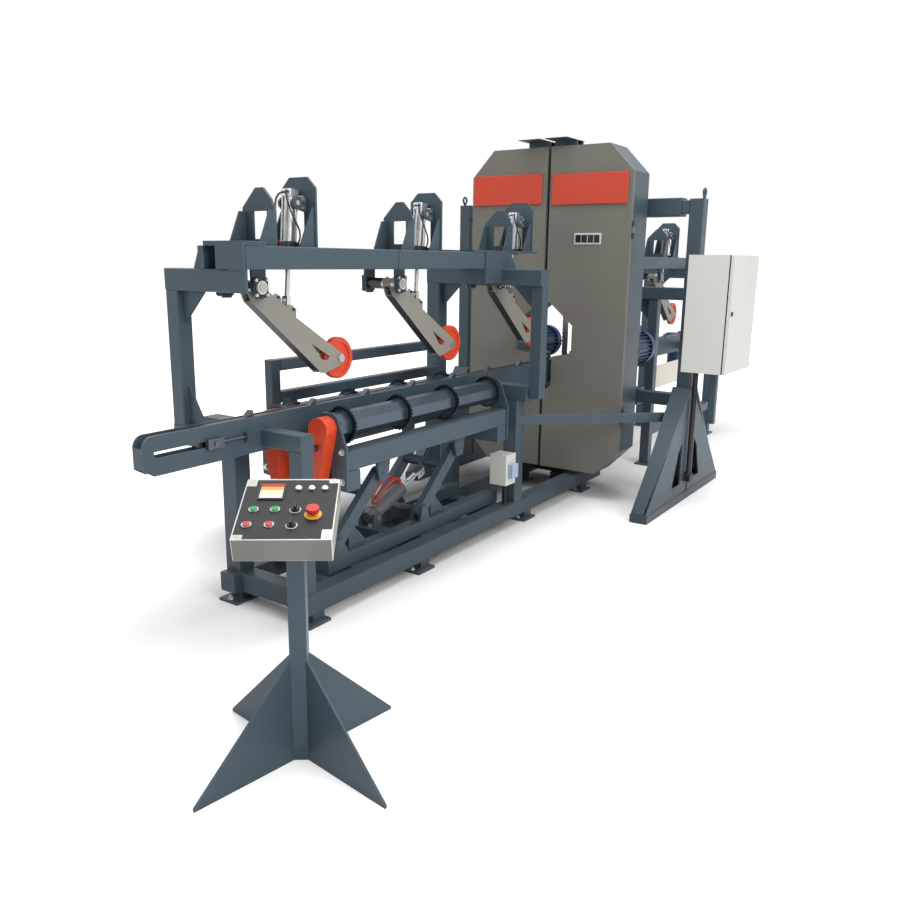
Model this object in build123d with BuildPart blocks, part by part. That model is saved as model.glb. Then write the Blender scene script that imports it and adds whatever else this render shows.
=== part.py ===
from build123d import *
import math
import os

os.makedirs("parts", exist_ok=True)

# Twin vertical resaw. X is the feed direction, Y points to the far side and Z is up.
# The origin lies on the floor, on the feed centreline, in the plane of the saw gantry.

# Square tube stock and sheet
tube_size = 100.0
tube_wall = 5.0
tube_corner = 7.0
drain_r = 6.0
slim_tube = 80.0
plate_thick = 12.0
sheet = 4.0

# Fits
run_fit = 0.05
loose_fit = 0.5
link_play = 3.0
hold_play = 6.0

# Infeed base
infeed_front_x = -3263.0
front_leg_back = 90.0
infeed_rear_leg_x = -1314.0
rail_end_x = 60.0
rail_y = 250.0
rail_bottom_z = 60.0
foot_x = (-3190.0, -2317.0, -1120.0, -230.0)
foot_length = 150.0
foot_width = 130.0
foot_plate = 15.0
anchor_r = 9.0
leg_arm_z = 890.0
near_arm_top_z = 935.0
near_arm_reach = 360.0
far_arm_reach = 420.0

# Chain conveyor
bed_half = 25.0
bed_plate = 8.0
bed_bottom_z = 832.0
bed_top_z = 1002.0
bed_front_x = -3900.0
bed_joint_x = -100.0
bed_rear_x = 2900.0
nose_round = 50.0
nose_drop = 30.0
nose_cover_z = (865.0, 954.0)
chain_axis_z = 920.0
chain_pitch_r = 62.0
chain_half_height = 16.0
chain_half_width = 18.0
dog_pitch = 420.0
dog_height = 30.0
dog_length = 46.0
tail_x = -3540.0
head_x = 2760.0
sprocket_shaft_r = 12.0
sprocket_teeth = 12
takeup_slot = 305.0
takeup_half = 44.0
takeup_high = 22.0
takeup_thick = 22.0
takeup_rod = (130.0, 60.0)

# Hold-down frame and units
beam_y = 100.0
beam_z = 1715.0
beam_front_x = -3420.0
beam_rear_x = -1110.0
beam_cut_x = beam_rear_x - 115.0
front_web = 105.0
front_plate = 8.0
front_cover = 20.0
front_pocket_y = (27.0, 112.0)
front_pocket = 100.0
out_beam_front_x = 840.0
out_beam_rear_x = 2600.0
cross_beam_z = beam_z - tube_size
post_far_y = 370.0
post_near_y = -400.0
post_left_y = 350.0
cheek_front_x = -1500.0
cheek_thick = 8.0
fence_y = 345.0
fence_tube = 60.0
fence_front_x = -2842.0
fence_rail_z = (1162.0, 990.0)
out_post_y = 350.0
out_low_beam_z = 1468.0
out_low_beam_half = 620.0
out_panel_z = (650.0, 850.0)
unit_pivot_x = (-3272.0, -2246.0, -1178.0, 1726.0)
arm_angle = 32.3
pivot_z = 1586.0
arm_length = 688.0
arm_half = 27.0
arm_plate = 6.0
arm_strip = 8.0
pivot_pin_r = 20.0
hanger_y = 66.0
hanger_far_y = 144.0
hanger_half = 42.0
wheel_r = 107.0
wheel_tooth = 7.0
wheel_teeth = 44
wheel_width = 34.0
axle_r = 15.0
rod_eye_reach = 251.0
rod_eye_rise = 43.0
eye_pin_r = 9.0
trunnion_dx = 276.0
trunnion_z = 1965.0
trunnion_r = 12.0
low_plate_dx = 86.0
high_plate_dx = 334.0
bracket_gusset_y = 92.0
bracket_gusset = 8.0
cylinder_r = 26.0
cap_side = 60.0
cap_thick = 34.0
cylinder_above = 62.0
cylinder_below = 208.0
piston_drop = 108.0
rod_r = 12.0
hose_r = 5.0
hose_bow = 60.0

# Log turner
sub_rail_y = 150.0
sub_rail_z = 200.0
sub_front_x = -2990.0
sub_rear_x = -1355.0
link_pivot_x = (-2895.0, -2165.0)
link_pivot_z = 290.0
link_length = 460.0
link_rest = 42.0
link_width = 72.0
link_thick = 40.0
link_shaft_r = 20.0
link_pin_r = 18.0
link_tube_at = 340.0
link_lug_at = 260.0
carriage_y = 230.0
carriage_z = 750.0
carriage_front_x = -2955.0
carriage_rear_x = -1418.0
carriage_cross_z = 650.0
roller_y = 170.0
roller_z = 910.0
roller_shaft_r = 25.0
roller_sprocket = (48.0, 7.0, 18)
drum_across = 128.0
disc_r = 100.0
disc_tooth = 11.0
disc_teeth = 30
disc_thick = 14.0
disc_first_x = -2850.0
disc_pitch = 455.0
guard_depth = 72.0
lift_base_x = link_pivot_x[1] - 270.0
lift_base_z = 300.0
lift_r = 44.0
lift_rod_r = 18.0
lift_pin_r = 14.0

# Saws and gantry
saw_front_x = -425.0
saw_depth = 281.0
door_depth = 29.0
seam_half = 12.5
saw_half = 635.0
saw_top_half = 456.0
saw_top_z = 2500.0
saw_shoulder_z = saw_top_z - 185.0
saw_knee_z = 383.0
saw_bottom_z = 197.0
throat_half = 230.0
throat_slot = 75.0
throat_top_z = 1450.0
throat_wide_z = (1062.0, 1265.0)
throat_slot_z = (818.0, 1032.0)
throat_foot_z = 770.0
band_r = 240.0
band_y = 350.0
band_low_z = 507.0
band_high_z = saw_top_z - 310.0
band_x = -285.0
band_wheel_width = 90.0
blade_width = 100.0
blade_thick = 1.4
blade_gap = 0.3
blade_tooth = 12.0
spindle_r = 40.0
spindle_housing_r = 75.0
hinge_r = 11.0
hinge_pin_r = 5.0
hinge_heights = (640.0, 1930.0)
guide_beam = 90.0
guide_play = 0.3
sleeve_side = 124.0
top_beam_z = 2095.0
low_beam_z = 740.0
sleeve_outer_y = 845.0
low_sleeve_outer_y = 620.0
sleeve_inner_y = 140.0
column_y = 950.0
column_top_z = 2145.0
foot_half_x = 770.0
foot_half_y = 55.0
foot_base_h = 60.0
foot_apex_z = 830.0
saw_column_low_z = 380.0
saw_column_top_z = 2230.0
saw_column_depth = 82.0
saw_column_width = 330.0
flap_reach = 120.0
flap_lift = 38.0
eye_bolt_y = 985.0
tie_tube = 60.0
duct_tube = 50.0
motor_r = 128.0
motor_y = 412.0
motor_length = 250.0
motor_bell = 60.0
motor_z = 1060.0

# Enclosure
box_x = (-305.0, 295.0)
box_y = (-1290.0, -1010.0)
box_z = (985.0, 1770.0)
box_sheet = 3.0
box_door = 20.0

# Console
console_x = -4131.0
console_y = -1080.0
console_z = 957.0
console_turn = 36.87
console_tilt = 18.0
console_width = 300.0
console_length = 330.0
console_depth = 78.0
console_sheet = 3.0
panel_margin = 9.0
pedestal_back = 146.0
pedestal_tube = 60.0
gusset_reach = 430.0
gusset_height = 385.0
gusset_thick = 8.0
button_r = 11.0
button_proud = 8.0
bezel = 4.0
green_spots = ((-104.0, -11.0), (-38.0, -11.0))
red_spots = ((-113.0, -91.0), (-45.0, -91.0))
selector_spots = ((24.0, -10.0), (22.0, -92.0))
stop_spot = (82.0, -40.0)
lamp_spots = ((22.0, 104.0), (64.0, 104.0), (106.0, 104.0))


def tube(start, end, width=tube_size, height=tube_size, wall=tube_wall, up=(0, 0, 1), capped=True):
    """Hollow tube on a straight centreline; the height lies along up and the far cap has a drain hole."""
    run = Vector(*end) - Vector(*start)
    section = Plane(origin=start, x_dir=up, z_dir=run)
    with BuildPart() as piece:
        with BuildSketch(section):
            RectangleRounded(height, width, tube_corner)
            Rectangle(height - 2 * wall, width - 2 * wall, mode=Mode.SUBTRACT)
        extrude(amount=run.length)
        if capped:
            with BuildSketch(section):
                Rectangle(height - wall, width - wall)
            extrude(amount=wall)
            with BuildSketch(section.offset(run.length - wall)):
                Rectangle(height - wall, width - wall)
                Circle(drain_r, mode=Mode.SUBTRACT)
            extrude(amount=wall)
    return piece.part


def post(x, y, bottom, top, size=tube_size):
    """Upright square tube."""
    return tube((x, y, bottom), (x, y, top), size, size, up=(1, 0, 0))


def block(x0, x1, y0, y1, z0, z1):
    """Solid block between two corners."""
    with BuildPart() as piece:
        with BuildSketch(Plane.XY.offset(z0)):
            with Locations(((x0 + x1) / 2, (y0 + y1) / 2)):
                Rectangle(abs(x1 - x0), abs(y1 - y0))
        extrude(amount=z1 - z0)
    return piece.part


def flat(plane, points, thick, windows=(), holes=()):
    """Flat plate with polygon windows and round holes (u, v, r), thickened along the normal."""
    with BuildPart() as piece:
        with BuildSketch(plane):
            with BuildLine():
                Polyline(*points, close=True)
            make_face()
            for window in windows:
                with BuildLine():
                    Polyline(*window, close=True)
                make_face(mode=Mode.SUBTRACT)
            for u, v, r in holes:
                with Locations((u, v)):
                    Circle(r, mode=Mode.SUBTRACT)
        extrude(amount=thick)
    return piece.part


def xz(y0):
    """Plane with u along X and v along Z whose normal points to +Y."""
    return Plane(origin=(0, y0, 0), x_dir=(1, 0, 0), z_dir=(0, -1, 0))


def xz_plate(y0, thick, points, windows=(), holes=()):
    """Plate drawn in X and Z from y0 to y0 + thick."""
    return flat(xz(y0 + thick), points, thick, windows, holes)


def yz_plate(x0, thick, points, windows=(), holes=()):
    """Plate drawn in Y and Z from x0 to x0 + thick."""
    plane = Plane(origin=(x0, 0, 0), x_dir=(0, 1, 0), z_dir=(1, 0, 0))
    return flat(plane, points, thick, windows, holes)


def bar(start, end, radius, bore=0.0):
    """Round bar or sleeve between two points."""
    run = Vector(*end) - Vector(*start)
    with BuildPart() as piece:
        with BuildSketch(Plane(origin=start, z_dir=run)):
            Circle(radius)
            if bore > 0:
                Circle(bore, mode=Mode.SUBTRACT)
        extrude(amount=run.length)
    return piece.part


def bored_block(x0, x1, y0, y1, z0, z1, cx, cz, r):
    """Block with one hole along Y."""
    points = ((x0, z0), (x1, z0), (x1, z1), (x0, z1))
    return xz_plate(y0, y1 - y0, points, holes=((cx, cz, r),))


def gear_points(tip, depth, count):
    """Pointed tooth outline round a centre."""
    points = []
    for i in range(count):
        tip_angle = 2 * math.pi * i / count
        root_angle = tip_angle + math.pi / count
        points.append((tip * math.cos(tip_angle), tip * math.sin(tip_angle)))
        points.append(((tip - depth) * math.cos(root_angle), (tip - depth) * math.sin(root_angle)))
    return points


def group(label, *pieces):
    """Pieces of one node kept as separate solids."""
    node = Compound(label=label, children=list(pieces))
    export_step(node, f"parts/{label}.step")


def foot(x, y):
    """Anchored foot under a rail: drilled sole plate and riser."""
    half = foot_length / 2
    sole = flat(Plane.XY, ((x - half, y - foot_width / 2), (x + half, y - foot_width / 2),
                           (x + half, y + foot_width / 2), (x - half, y + foot_width / 2)), foot_plate,
                holes=((x - half + 22, y, anchor_r),))
    riser = post(x + 20, y, foot_plate, rail_bottom_z, slim_tube)
    return sole, riser


# Infeed base: rails, cross pieces, legs and arms that carry the conveyor
rail_z = rail_bottom_z + tube_size / 2
rail_top_z = rail_bottom_z + tube_size
rail_inner_y = rail_y - tube_size / 2
leg_x = (infeed_front_x + front_leg_back, infeed_rear_leg_x + tube_size / 2)
arm_under_z = leg_arm_z - tube_size / 2
bed_outer = bed_half + bed_plate
base = []
for side in (-1, 1):
    base.append(tube((infeed_front_x, side * rail_y, rail_z), (rail_end_x, side * rail_y, rail_z)))
    for x in leg_x if side > 0 else leg_x[1:]:
        base.append(post(x, side * rail_y, rail_top_z, arm_under_z))
    for x in foot_x:
        base.extend(foot(x, side * rail_y))
for x in (leg_x[0], link_pivot_x[0] + 120, link_pivot_x[1], sub_rear_x - 60, 0.0):
    base.append(tube((x, -rail_inner_y, rail_z), (x, rail_inner_y, rail_z)))
base.append(tube((leg_x[1], -near_arm_reach, leg_arm_z), (leg_x[1], -bed_outer, leg_arm_z)))
for x in leg_x:
    base.append(tube((x, bed_outer, leg_arm_z), (x, far_arm_reach, leg_arm_z)))
near_leg_x = infeed_front_x + slim_tube / 2
near_arm_z = near_arm_top_z - slim_tube / 2
base.append(post(near_leg_x, -rail_y, rail_top_z, near_arm_z - slim_tube / 2, slim_tube))
base.append(tube((near_leg_x, -rail_y - slim_tube / 2, near_arm_z), (near_leg_x, -bed_outer, near_arm_z),
                 slim_tube, slim_tube))
base.append(block(-foot_length / 2, foot_length / 2, -foot_length / 2, foot_length / 2, 0, rail_bottom_z))
group("infeed_base_frame", *base)

# Junction box on the near rear leg with a socket and a short cable into the rail
leg_face_x = leg_x[1] - tube_size / 2
near_face_y = -rail_y - tube_size / 2
junction = block(leg_face_x - 120, leg_face_x, near_face_y, near_face_y + 120, 300, 500)
socket = block(leg_face_x - 98, leg_face_x - 22, near_face_y - 34, near_face_y, 350, 440)
junction_cable = bar((leg_face_x - 60, near_face_y + 40, rail_top_z), (leg_face_x - 60, near_face_y + 40, 300), 11)
group("junction_box", junction, socket, junction_cable)

# Conveyor beds: side plates, wear strip, floor strip; the tail shaft runs in take-up blocks
slot_half = sprocket_shaft_r + 2
slot_x = (tail_x - takeup_slot, tail_x + sprocket_shaft_r + 2)


def rounded_corner(x, z, toward):
    """Points round the upper corner of a bed end; toward is -1 for the front and 1 for the rear."""
    points = []
    for i in range(9):
        angle = math.radians(90.0 * i / 8)
        points.append((x + toward * nose_round * (math.cos(angle) - 1), z + nose_round * (math.sin(angle) - 1)))
    return points


infeed_side = ((bed_front_x, bed_bottom_z + nose_drop), (bed_front_x + nose_round, bed_bottom_z),
               (bed_joint_x, bed_bottom_z), (bed_joint_x, bed_top_z),
               *reversed(rounded_corner(bed_front_x, bed_top_z, -1)))
takeup_window = ((slot_x[0], chain_axis_z - slot_half), (slot_x[1], chain_axis_z - slot_half),
                 (slot_x[1], chain_axis_z + slot_half), (slot_x[0], chain_axis_z + slot_half))
outfeed_side = ((bed_joint_x, bed_bottom_z), (bed_rear_x - nose_round, bed_bottom_z),
                (bed_rear_x, bed_bottom_z + nose_drop), *rounded_corner(bed_rear_x, bed_top_z, 1),
                (bed_joint_x, bed_top_z))
strip_top = chain_axis_z + chain_pitch_r - chain_half_height
strip_bottom = strip_top - 8
infeed_bed = []
for side in (-1, 1):
    inner = bed_half if side > 0 else -bed_outer
    outer = bed_outer if side > 0 else -bed_outer - takeup_thick
    infeed_bed.append(xz_plate(inner, bed_plate, infeed_side, windows=(takeup_window,)))
    infeed_bed.append(bored_block(tail_x - takeup_half, tail_x + takeup_half, outer, outer + takeup_thick,
                                  chain_axis_z - takeup_high, chain_axis_z + takeup_high,
                                  tail_x, chain_axis_z, sprocket_shaft_r + run_fit))
    mid = outer + takeup_thick / 2
    lug_x = tail_x + takeup_half + takeup_rod[0 if side < 0 else 1]
    infeed_bed.append(block(lug_x, lug_x + 12, outer, outer + takeup_thick, chain_axis_z - 20, chain_axis_z + 20))
    infeed_bed.append(bar((tail_x + takeup_half, mid, chain_axis_z), (lug_x, mid, chain_axis_z), 6))
infeed_bed.append(block(tail_x + 110, bed_joint_x, -bed_half, bed_half, strip_bottom, strip_top))
infeed_bed.append(block(tail_x + 110, bed_joint_x, -bed_half, bed_half, bed_bottom_z, bed_bottom_z + 6))
infeed_bed.append(block(bed_front_x, bed_front_x + 6, -bed_half, bed_half, *nose_cover_z))
group("infeed_conveyor_bed", *infeed_bed)

outfeed_bed = []
for side in (-1, 1):
    inner = bed_half if side > 0 else -bed_outer
    outfeed_bed.append(xz_plate(inner, bed_plate, outfeed_side,
                                holes=((head_x, chain_axis_z, sprocket_shaft_r + run_fit),)))
outfeed_bed.append(block(bed_joint_x, head_x - 110, -bed_half, bed_half, strip_bottom, strip_top))
outfeed_bed.append(block(bed_joint_x, head_x - 110, -bed_half, bed_half, bed_bottom_z, bed_bottom_z + 6))
group("outfeed_conveyor_bed", *outfeed_bed)

# Feed chain: two runs, two end wraps and pusher dogs
run_top = chain_axis_z + chain_pitch_r
run_low = chain_axis_z - chain_pitch_r
chain = [block(tail_x, head_x, -chain_half_width, chain_half_width,
               run_top - chain_half_height, run_top + chain_half_height),
         block(tail_x, head_x, -chain_half_width, chain_half_width,
               run_low - chain_half_height, run_low + chain_half_height)]
for end_x, start_angle in ((tail_x, 90), (head_x, -90)):
    with BuildPart() as wrap:
        with BuildSketch(xz(chain_half_width)):
            with BuildLine():
                outer_arc = CenterArc((end_x, chain_axis_z), chain_pitch_r + chain_half_height, start_angle, 180)
                inner_arc = CenterArc((end_x, chain_axis_z), chain_pitch_r - chain_half_height, start_angle, 180)
                Line(outer_arc @ 0, inner_arc @ 0)
                Line(outer_arc @ 1, inner_arc @ 1)
            make_face()
        extrude(amount=2 * chain_half_width)
    chain.append(wrap.part)
dog_count = int((head_x - tail_x) // dog_pitch)
chain_top = run_top + chain_half_height
for i in range(dog_count):
    x = tail_x + dog_pitch * (i + 0.5)
    dog = ((x, chain_top), (x + dog_length, chain_top), (x + dog_length, chain_top + dog_height),
           (x + dog_length - 14, chain_top + dog_height))
    chain.append(xz_plate(-chain_half_width + 4, 2 * chain_half_width - 8, dog))
group("feed_chain", *chain)


def sprocket(x, y_near, y_far):
    """Toothed wheel on its shaft inside the chain loop."""
    tip = chain_pitch_r - chain_half_height - loose_fit
    with BuildPart() as piece:
        with BuildSketch(Plane(origin=(x, chain_half_width - 8, chain_axis_z), x_dir=(1, 0, 0), z_dir=(0, -1, 0))):
            with BuildLine():
                Polyline(*gear_points(tip, 9, sprocket_teeth), close=True)
            make_face()
        extrude(amount=2 * (chain_half_width - 8))
        with BuildSketch(Plane(origin=(x, y_far, chain_axis_z), x_dir=(1, 0, 0), z_dir=(0, -1, 0))):
            Circle(sprocket_shaft_r)
        extrude(amount=y_far - y_near)
    return piece


takeup_outer = bed_outer + takeup_thick
tail_sprocket = sprocket(tail_x, -takeup_outer - 6, takeup_outer + 6)
tail_sprocket.part.label = "tail_sprocket"
export_step(tail_sprocket.part, "parts/tail_sprocket.step")

gearbox_y = (bed_outer, bed_outer + 150)
head_sprocket = sprocket(head_x, -bed_outer - 20, gearbox_y[1] + 12)
head_sprocket.part.label = "head_sprocket"
export_step(head_sprocket.part, "parts/head_sprocket.step")

# Feed gearmotor hung on the far side plate
with BuildPart() as gearbox:
    with BuildSketch(xz(gearbox_y[1])):
        with Locations((head_x, chain_axis_z - 20)):
            RectangleRounded(150, 190, 20)
        with Locations((head_x, chain_axis_z)):
            Circle(sprocket_shaft_r + run_fit, mode=Mode.SUBTRACT)
    extrude(amount=gearbox_y[1] - gearbox_y[0])
feed_motor = bar((head_x, gearbox_y[0] + 75, chain_axis_z - 115), (head_x, gearbox_y[0] + 75, 540), 62)
group("feed_gearmotor", gearbox.part, feed_motor)


def bracket_pair(pivot_x, foot_z):
    """Low and high cross plates over both beams with gussets; the high one carries the trunnion lugs."""
    low_x = pivot_x + low_plate_dx
    high_x = pivot_x + high_plate_dx
    low = ((110, foot_z), (110, foot_z + 172), (24, foot_z + 256), (-24, foot_z + 256), (-70, foot_z + 209),
           (-95, foot_z + 158), (-95, foot_z))
    high = ((108, foot_z), (108, foot_z + 270), (57, foot_z + 320), (-57, foot_z + 320), (-108, foot_z + 270),
            (-108, foot_z))
    low_window = ((45, foot_z + 33), (45, foot_z + 155), (-45, foot_z + 155), (-45, foot_z + 33))
    high_window = ((34, foot_z + 20), (34, foot_z + 236), (-34, foot_z + 236), (-34, foot_z + 20))
    pieces = [yz_plate(low_x, plate_thick, low, (low_window,)), yz_plate(high_x, plate_thick, high, (high_window,))]
    trunnion_x = pivot_x + trunnion_dx
    lug = ((high_x, trunnion_z - 40), (high_x, trunnion_z + 34), (trunnion_x - 10, trunnion_z + 26),
           (trunnion_x - 26, trunnion_z + 10), (trunnion_x - 26, trunnion_z - 10), (trunnion_x - 10, trunnion_z - 26))
    lug_near = cap_side / 2 + 8
    for side in (-1, 1):
        y = side * (bracket_gusset_y + bracket_gusset / 2) - bracket_gusset / 2
        pieces.append(xz_plate(y, bracket_gusset, ((low_x, foot_z), (low_x, foot_z + 155),
                                                   (low_x - 34, foot_z + 155), (low_x - 104, foot_z))))
        pieces.append(xz_plate(y, bracket_gusset, ((high_x, foot_z), (high_x, foot_z + 180),
                                                   (high_x - 12, foot_z + 180), (high_x - 100, foot_z))))
        lug_y = lug_near if side > 0 else -lug_near - plate_thick
        pieces.append(xz_plate(lug_y, plate_thick, lug, (), ((trunnion_x, trunnion_z, trunnion_r + run_fit),)))
    return pieces


def hanger_pair(pivot_x):
    """Two plates under the beams with flange bearings for one arm pivot."""
    top = beam_z - tube_size / 2
    low = pivot_z - 52
    hole = ((pivot_x, pivot_z, pivot_pin_r + run_fit),)
    outline = ((pivot_x - hanger_half, top), (pivot_x - hanger_half, low + 20), (pivot_x - hanger_half + 20, low),
               (pivot_x + hanger_half - 20, low), (pivot_x + hanger_half, low + 20), (pivot_x + hanger_half, top))
    half = plate_thick / 2
    pieces = []
    for side, y in ((-1, -hanger_y), (1, hanger_far_y)):
        pieces.append(xz_plate(y - half, plate_thick, outline, (), hole))
        face = y + side * half
        with BuildPart() as flange:
            with BuildSketch(Plane(origin=(pivot_x, face, pivot_z), x_dir=(1, 0, 0), z_dir=(0, side, 0))):
                RectangleRounded(2 * hanger_half + 4, 90, 12)
            extrude(amount=12)
            with BuildSketch(Plane(origin=(pivot_x, face + side * 12, pivot_z), x_dir=(1, 0, 0),
                                   z_dir=(0, side, 0))):
                Circle(30)
                with GridLocations(64, 66, 2, 2):
                    RegularPolygon(8, 6)
            extrude(amount=10)
            with BuildSketch(Plane(origin=(pivot_x, face, pivot_z), x_dir=(1, 0, 0), z_dir=(0, side, 0))):
                Circle(pivot_pin_r + run_fit)
            extrude(amount=30, mode=Mode.SUBTRACT)
        pieces.append(flange.part)
    return pieces


def corner_brace(x, y, inward, z, leg=150.0):
    """Triangular gusset between a post and the beam on top of it."""
    points = ((y, z), (y + inward * leg, z), (y, z - leg))
    return yz_plate(x - plate_thick / 2, plate_thick, points)


# Infeed hold-down frame with brackets, bearings and the far fence
cross_under = cross_beam_z - tube_size / 2
post_half = tube_size / 2
slim_half = slim_tube / 2
beam_top = beam_z + post_half
beam_side = beam_y + post_half
arm_top_z = leg_arm_z + post_half
left_x = beam_front_x + slim_half
near_post_x = leg_x[1] + 20
beam_under = beam_z - post_half
beam_inner = beam_y - post_half
spacer_x = unit_pivot_x[1] - 400
front_cross_x = beam_front_x + post_half
frame = []
frame.append(tube((beam_front_x, -beam_y, beam_z), (beam_cut_x, -beam_y, beam_z)))
frame.append(xz_plate(-beam_side, tube_size, ((beam_cut_x, beam_under), (beam_rear_x - 14, beam_under),
                                              (beam_rear_x - 110, beam_top), (beam_cut_x, beam_top))))
frame.append(tube((beam_front_x + front_pocket, beam_y, beam_z), (beam_rear_x, beam_y, beam_z)))
for side in (-1, 1):
    frame.append(block(leg_x[1] - 366, leg_x[1] + 430, side * 60, side * beam_side,
                       beam_top, beam_top + plate_thick))
frame.append(tube((spacer_x, -beam_inner, beam_z), (spacer_x, beam_inner, beam_z)))
# Front end of the beams: cover plate, end plate, far cheek and gusset on the front cross beam
frame.append(block(beam_front_x, beam_front_x + 120, -beam_side, front_pocket_y[1],
                   beam_top, beam_top + front_cover))
frame.append(block(beam_front_x - front_plate, beam_front_x, -beam_side, front_pocket_y[0], beam_under,
                   beam_top + front_cover))
frame.append(block(beam_front_x, beam_front_x + front_pocket, front_pocket_y[1], beam_side, beam_under, beam_top))
frame.append(yz_plate(beam_front_x + 10, plate_thick, ((beam_side, beam_under), (beam_side + 45, beam_under),
                                                       (beam_side, beam_top))))
frame.append(tube((front_cross_x, front_web - beam_side, cross_beam_z),
                  (front_cross_x, post_left_y + slim_half, cross_beam_z)))
frame.append(block(beam_front_x, beam_front_x + plate_thick, -beam_side, front_web - beam_side,
                   cross_under, beam_under))
frame.append(tube((leg_x[1], -beam_side, cross_beam_z), (leg_x[1], post_far_y + post_half, cross_beam_z)))
cheek_y = -beam_side - cheek_thick
cheek_top = beam_top + plate_thick
frame.append(tube((leg_x[1], post_near_y - slim_half, cross_beam_z), (leg_x[1], cheek_y, cross_beam_z)))
frame.append(xz_plate(cheek_y, cheek_thick, ((cheek_front_x, cross_under + 15), (beam_rear_x, cross_under + 15),
                                             (beam_rear_x, beam_z - 65), (beam_rear_x - 110, cheek_top),
                                             (cheek_front_x, cheek_top))))
frame.append(tube((left_x, bed_outer, leg_arm_z), (left_x, post_left_y + slim_half, leg_arm_z), slim_tube))
frame.append(post(left_x, post_left_y, arm_top_z, cross_under, slim_tube))
frame.append(post(leg_x[1], post_far_y, arm_top_z, cross_under))
frame.append(post(near_post_x, post_near_y, 860, cross_under, slim_tube))
frame.append(corner_brace(left_x, post_left_y - slim_half, -1, cross_under))
frame.append(corner_brace(leg_x[1], post_far_y - post_half, -1, cross_under))
frame.append(corner_brace(near_post_x, post_near_y + slim_half, 1, cross_under))
frame.append(yz_plate(left_x - plate_thick / 2, plate_thick,
                      ((post_left_y - slim_half, 1130), (post_left_y - slim_half, arm_top_z), (200, arm_top_z))))
for x, foot_z in zip(unit_pivot_x, (beam_top, beam_top, beam_top + plate_thick)):
    frame.extend(bracket_pair(x, foot_z))
    frame.extend(hanger_pair(x))
fence_half = fence_tube / 2
fence_rear_x = leg_x[1] - post_half
frame.append(tube((leg_x[0] + post_half, fence_y, leg_arm_z), (fence_rear_x, fence_y, leg_arm_z),
                  fence_tube, fence_tube))
frame.append(post(fence_front_x + fence_half, fence_y, leg_arm_z + fence_half, fence_rail_z[0] + fence_half,
                  fence_tube))
for z in fence_rail_z:
    frame.append(tube((fence_front_x + fence_tube, fence_y, z), (fence_rear_x, fence_y, z), fence_tube, fence_tube))
group("hold_down_frame", *frame)

# Outfeed portals, bed arms, side panels and hold-down beams
out_front_x = out_beam_front_x + post_half
out_rear_x = out_beam_rear_x - post_half
out_inner_y = out_post_y - slim_half
out = []
for side in (-1, 1):
    y = side * out_post_y
    out.append(tube((out_beam_front_x, side * beam_y, beam_z), (out_beam_rear_x, side * beam_y, beam_z)))
    out.append(post(out_front_x, side * beam_y, out_low_beam_z + post_half, beam_z - post_half))
    for x, top in ((out_front_x, out_low_beam_z - post_half), (out_rear_x, cross_under)):
        out.append(post(x, y, foot_plate, top, slim_tube))
        out.append(block(x - foot_length / 2, x + foot_length / 2, y - foot_width / 2, y + foot_width / 2,
                         0, foot_plate))
        out.append(tube((x, side * bed_outer, leg_arm_z), (x, side * out_inner_y, leg_arm_z), slim_tube, slim_tube))
        out.append(corner_brace(x, side * out_inner_y, -side, top, 180.0))
    out.append(tube((out_front_x + slim_half, y, 300), (out_rear_x - slim_half, y, 300), slim_tube, slim_tube))
    panel_x = (out_front_x + slim_half, out_rear_x - slim_half)
    out.append(xz_plate(y - 3, 6, ((panel_x[0], out_panel_z[0]), (panel_x[1], out_panel_z[0]),
                                   (panel_x[1], out_panel_z[1]), (panel_x[0], out_panel_z[1]))))
out.append(tube((out_front_x, -out_low_beam_half, out_low_beam_z), (out_front_x, out_low_beam_half, out_low_beam_z)))
out.append(tube((out_rear_x, -far_arm_reach, cross_beam_z), (out_rear_x, far_arm_reach, cross_beam_z)))
out.extend(bracket_pair(unit_pivot_x[3], beam_top))
out.extend(hanger_pair(unit_pivot_x[3]))
group("outfeed_frame", *out)


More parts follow.
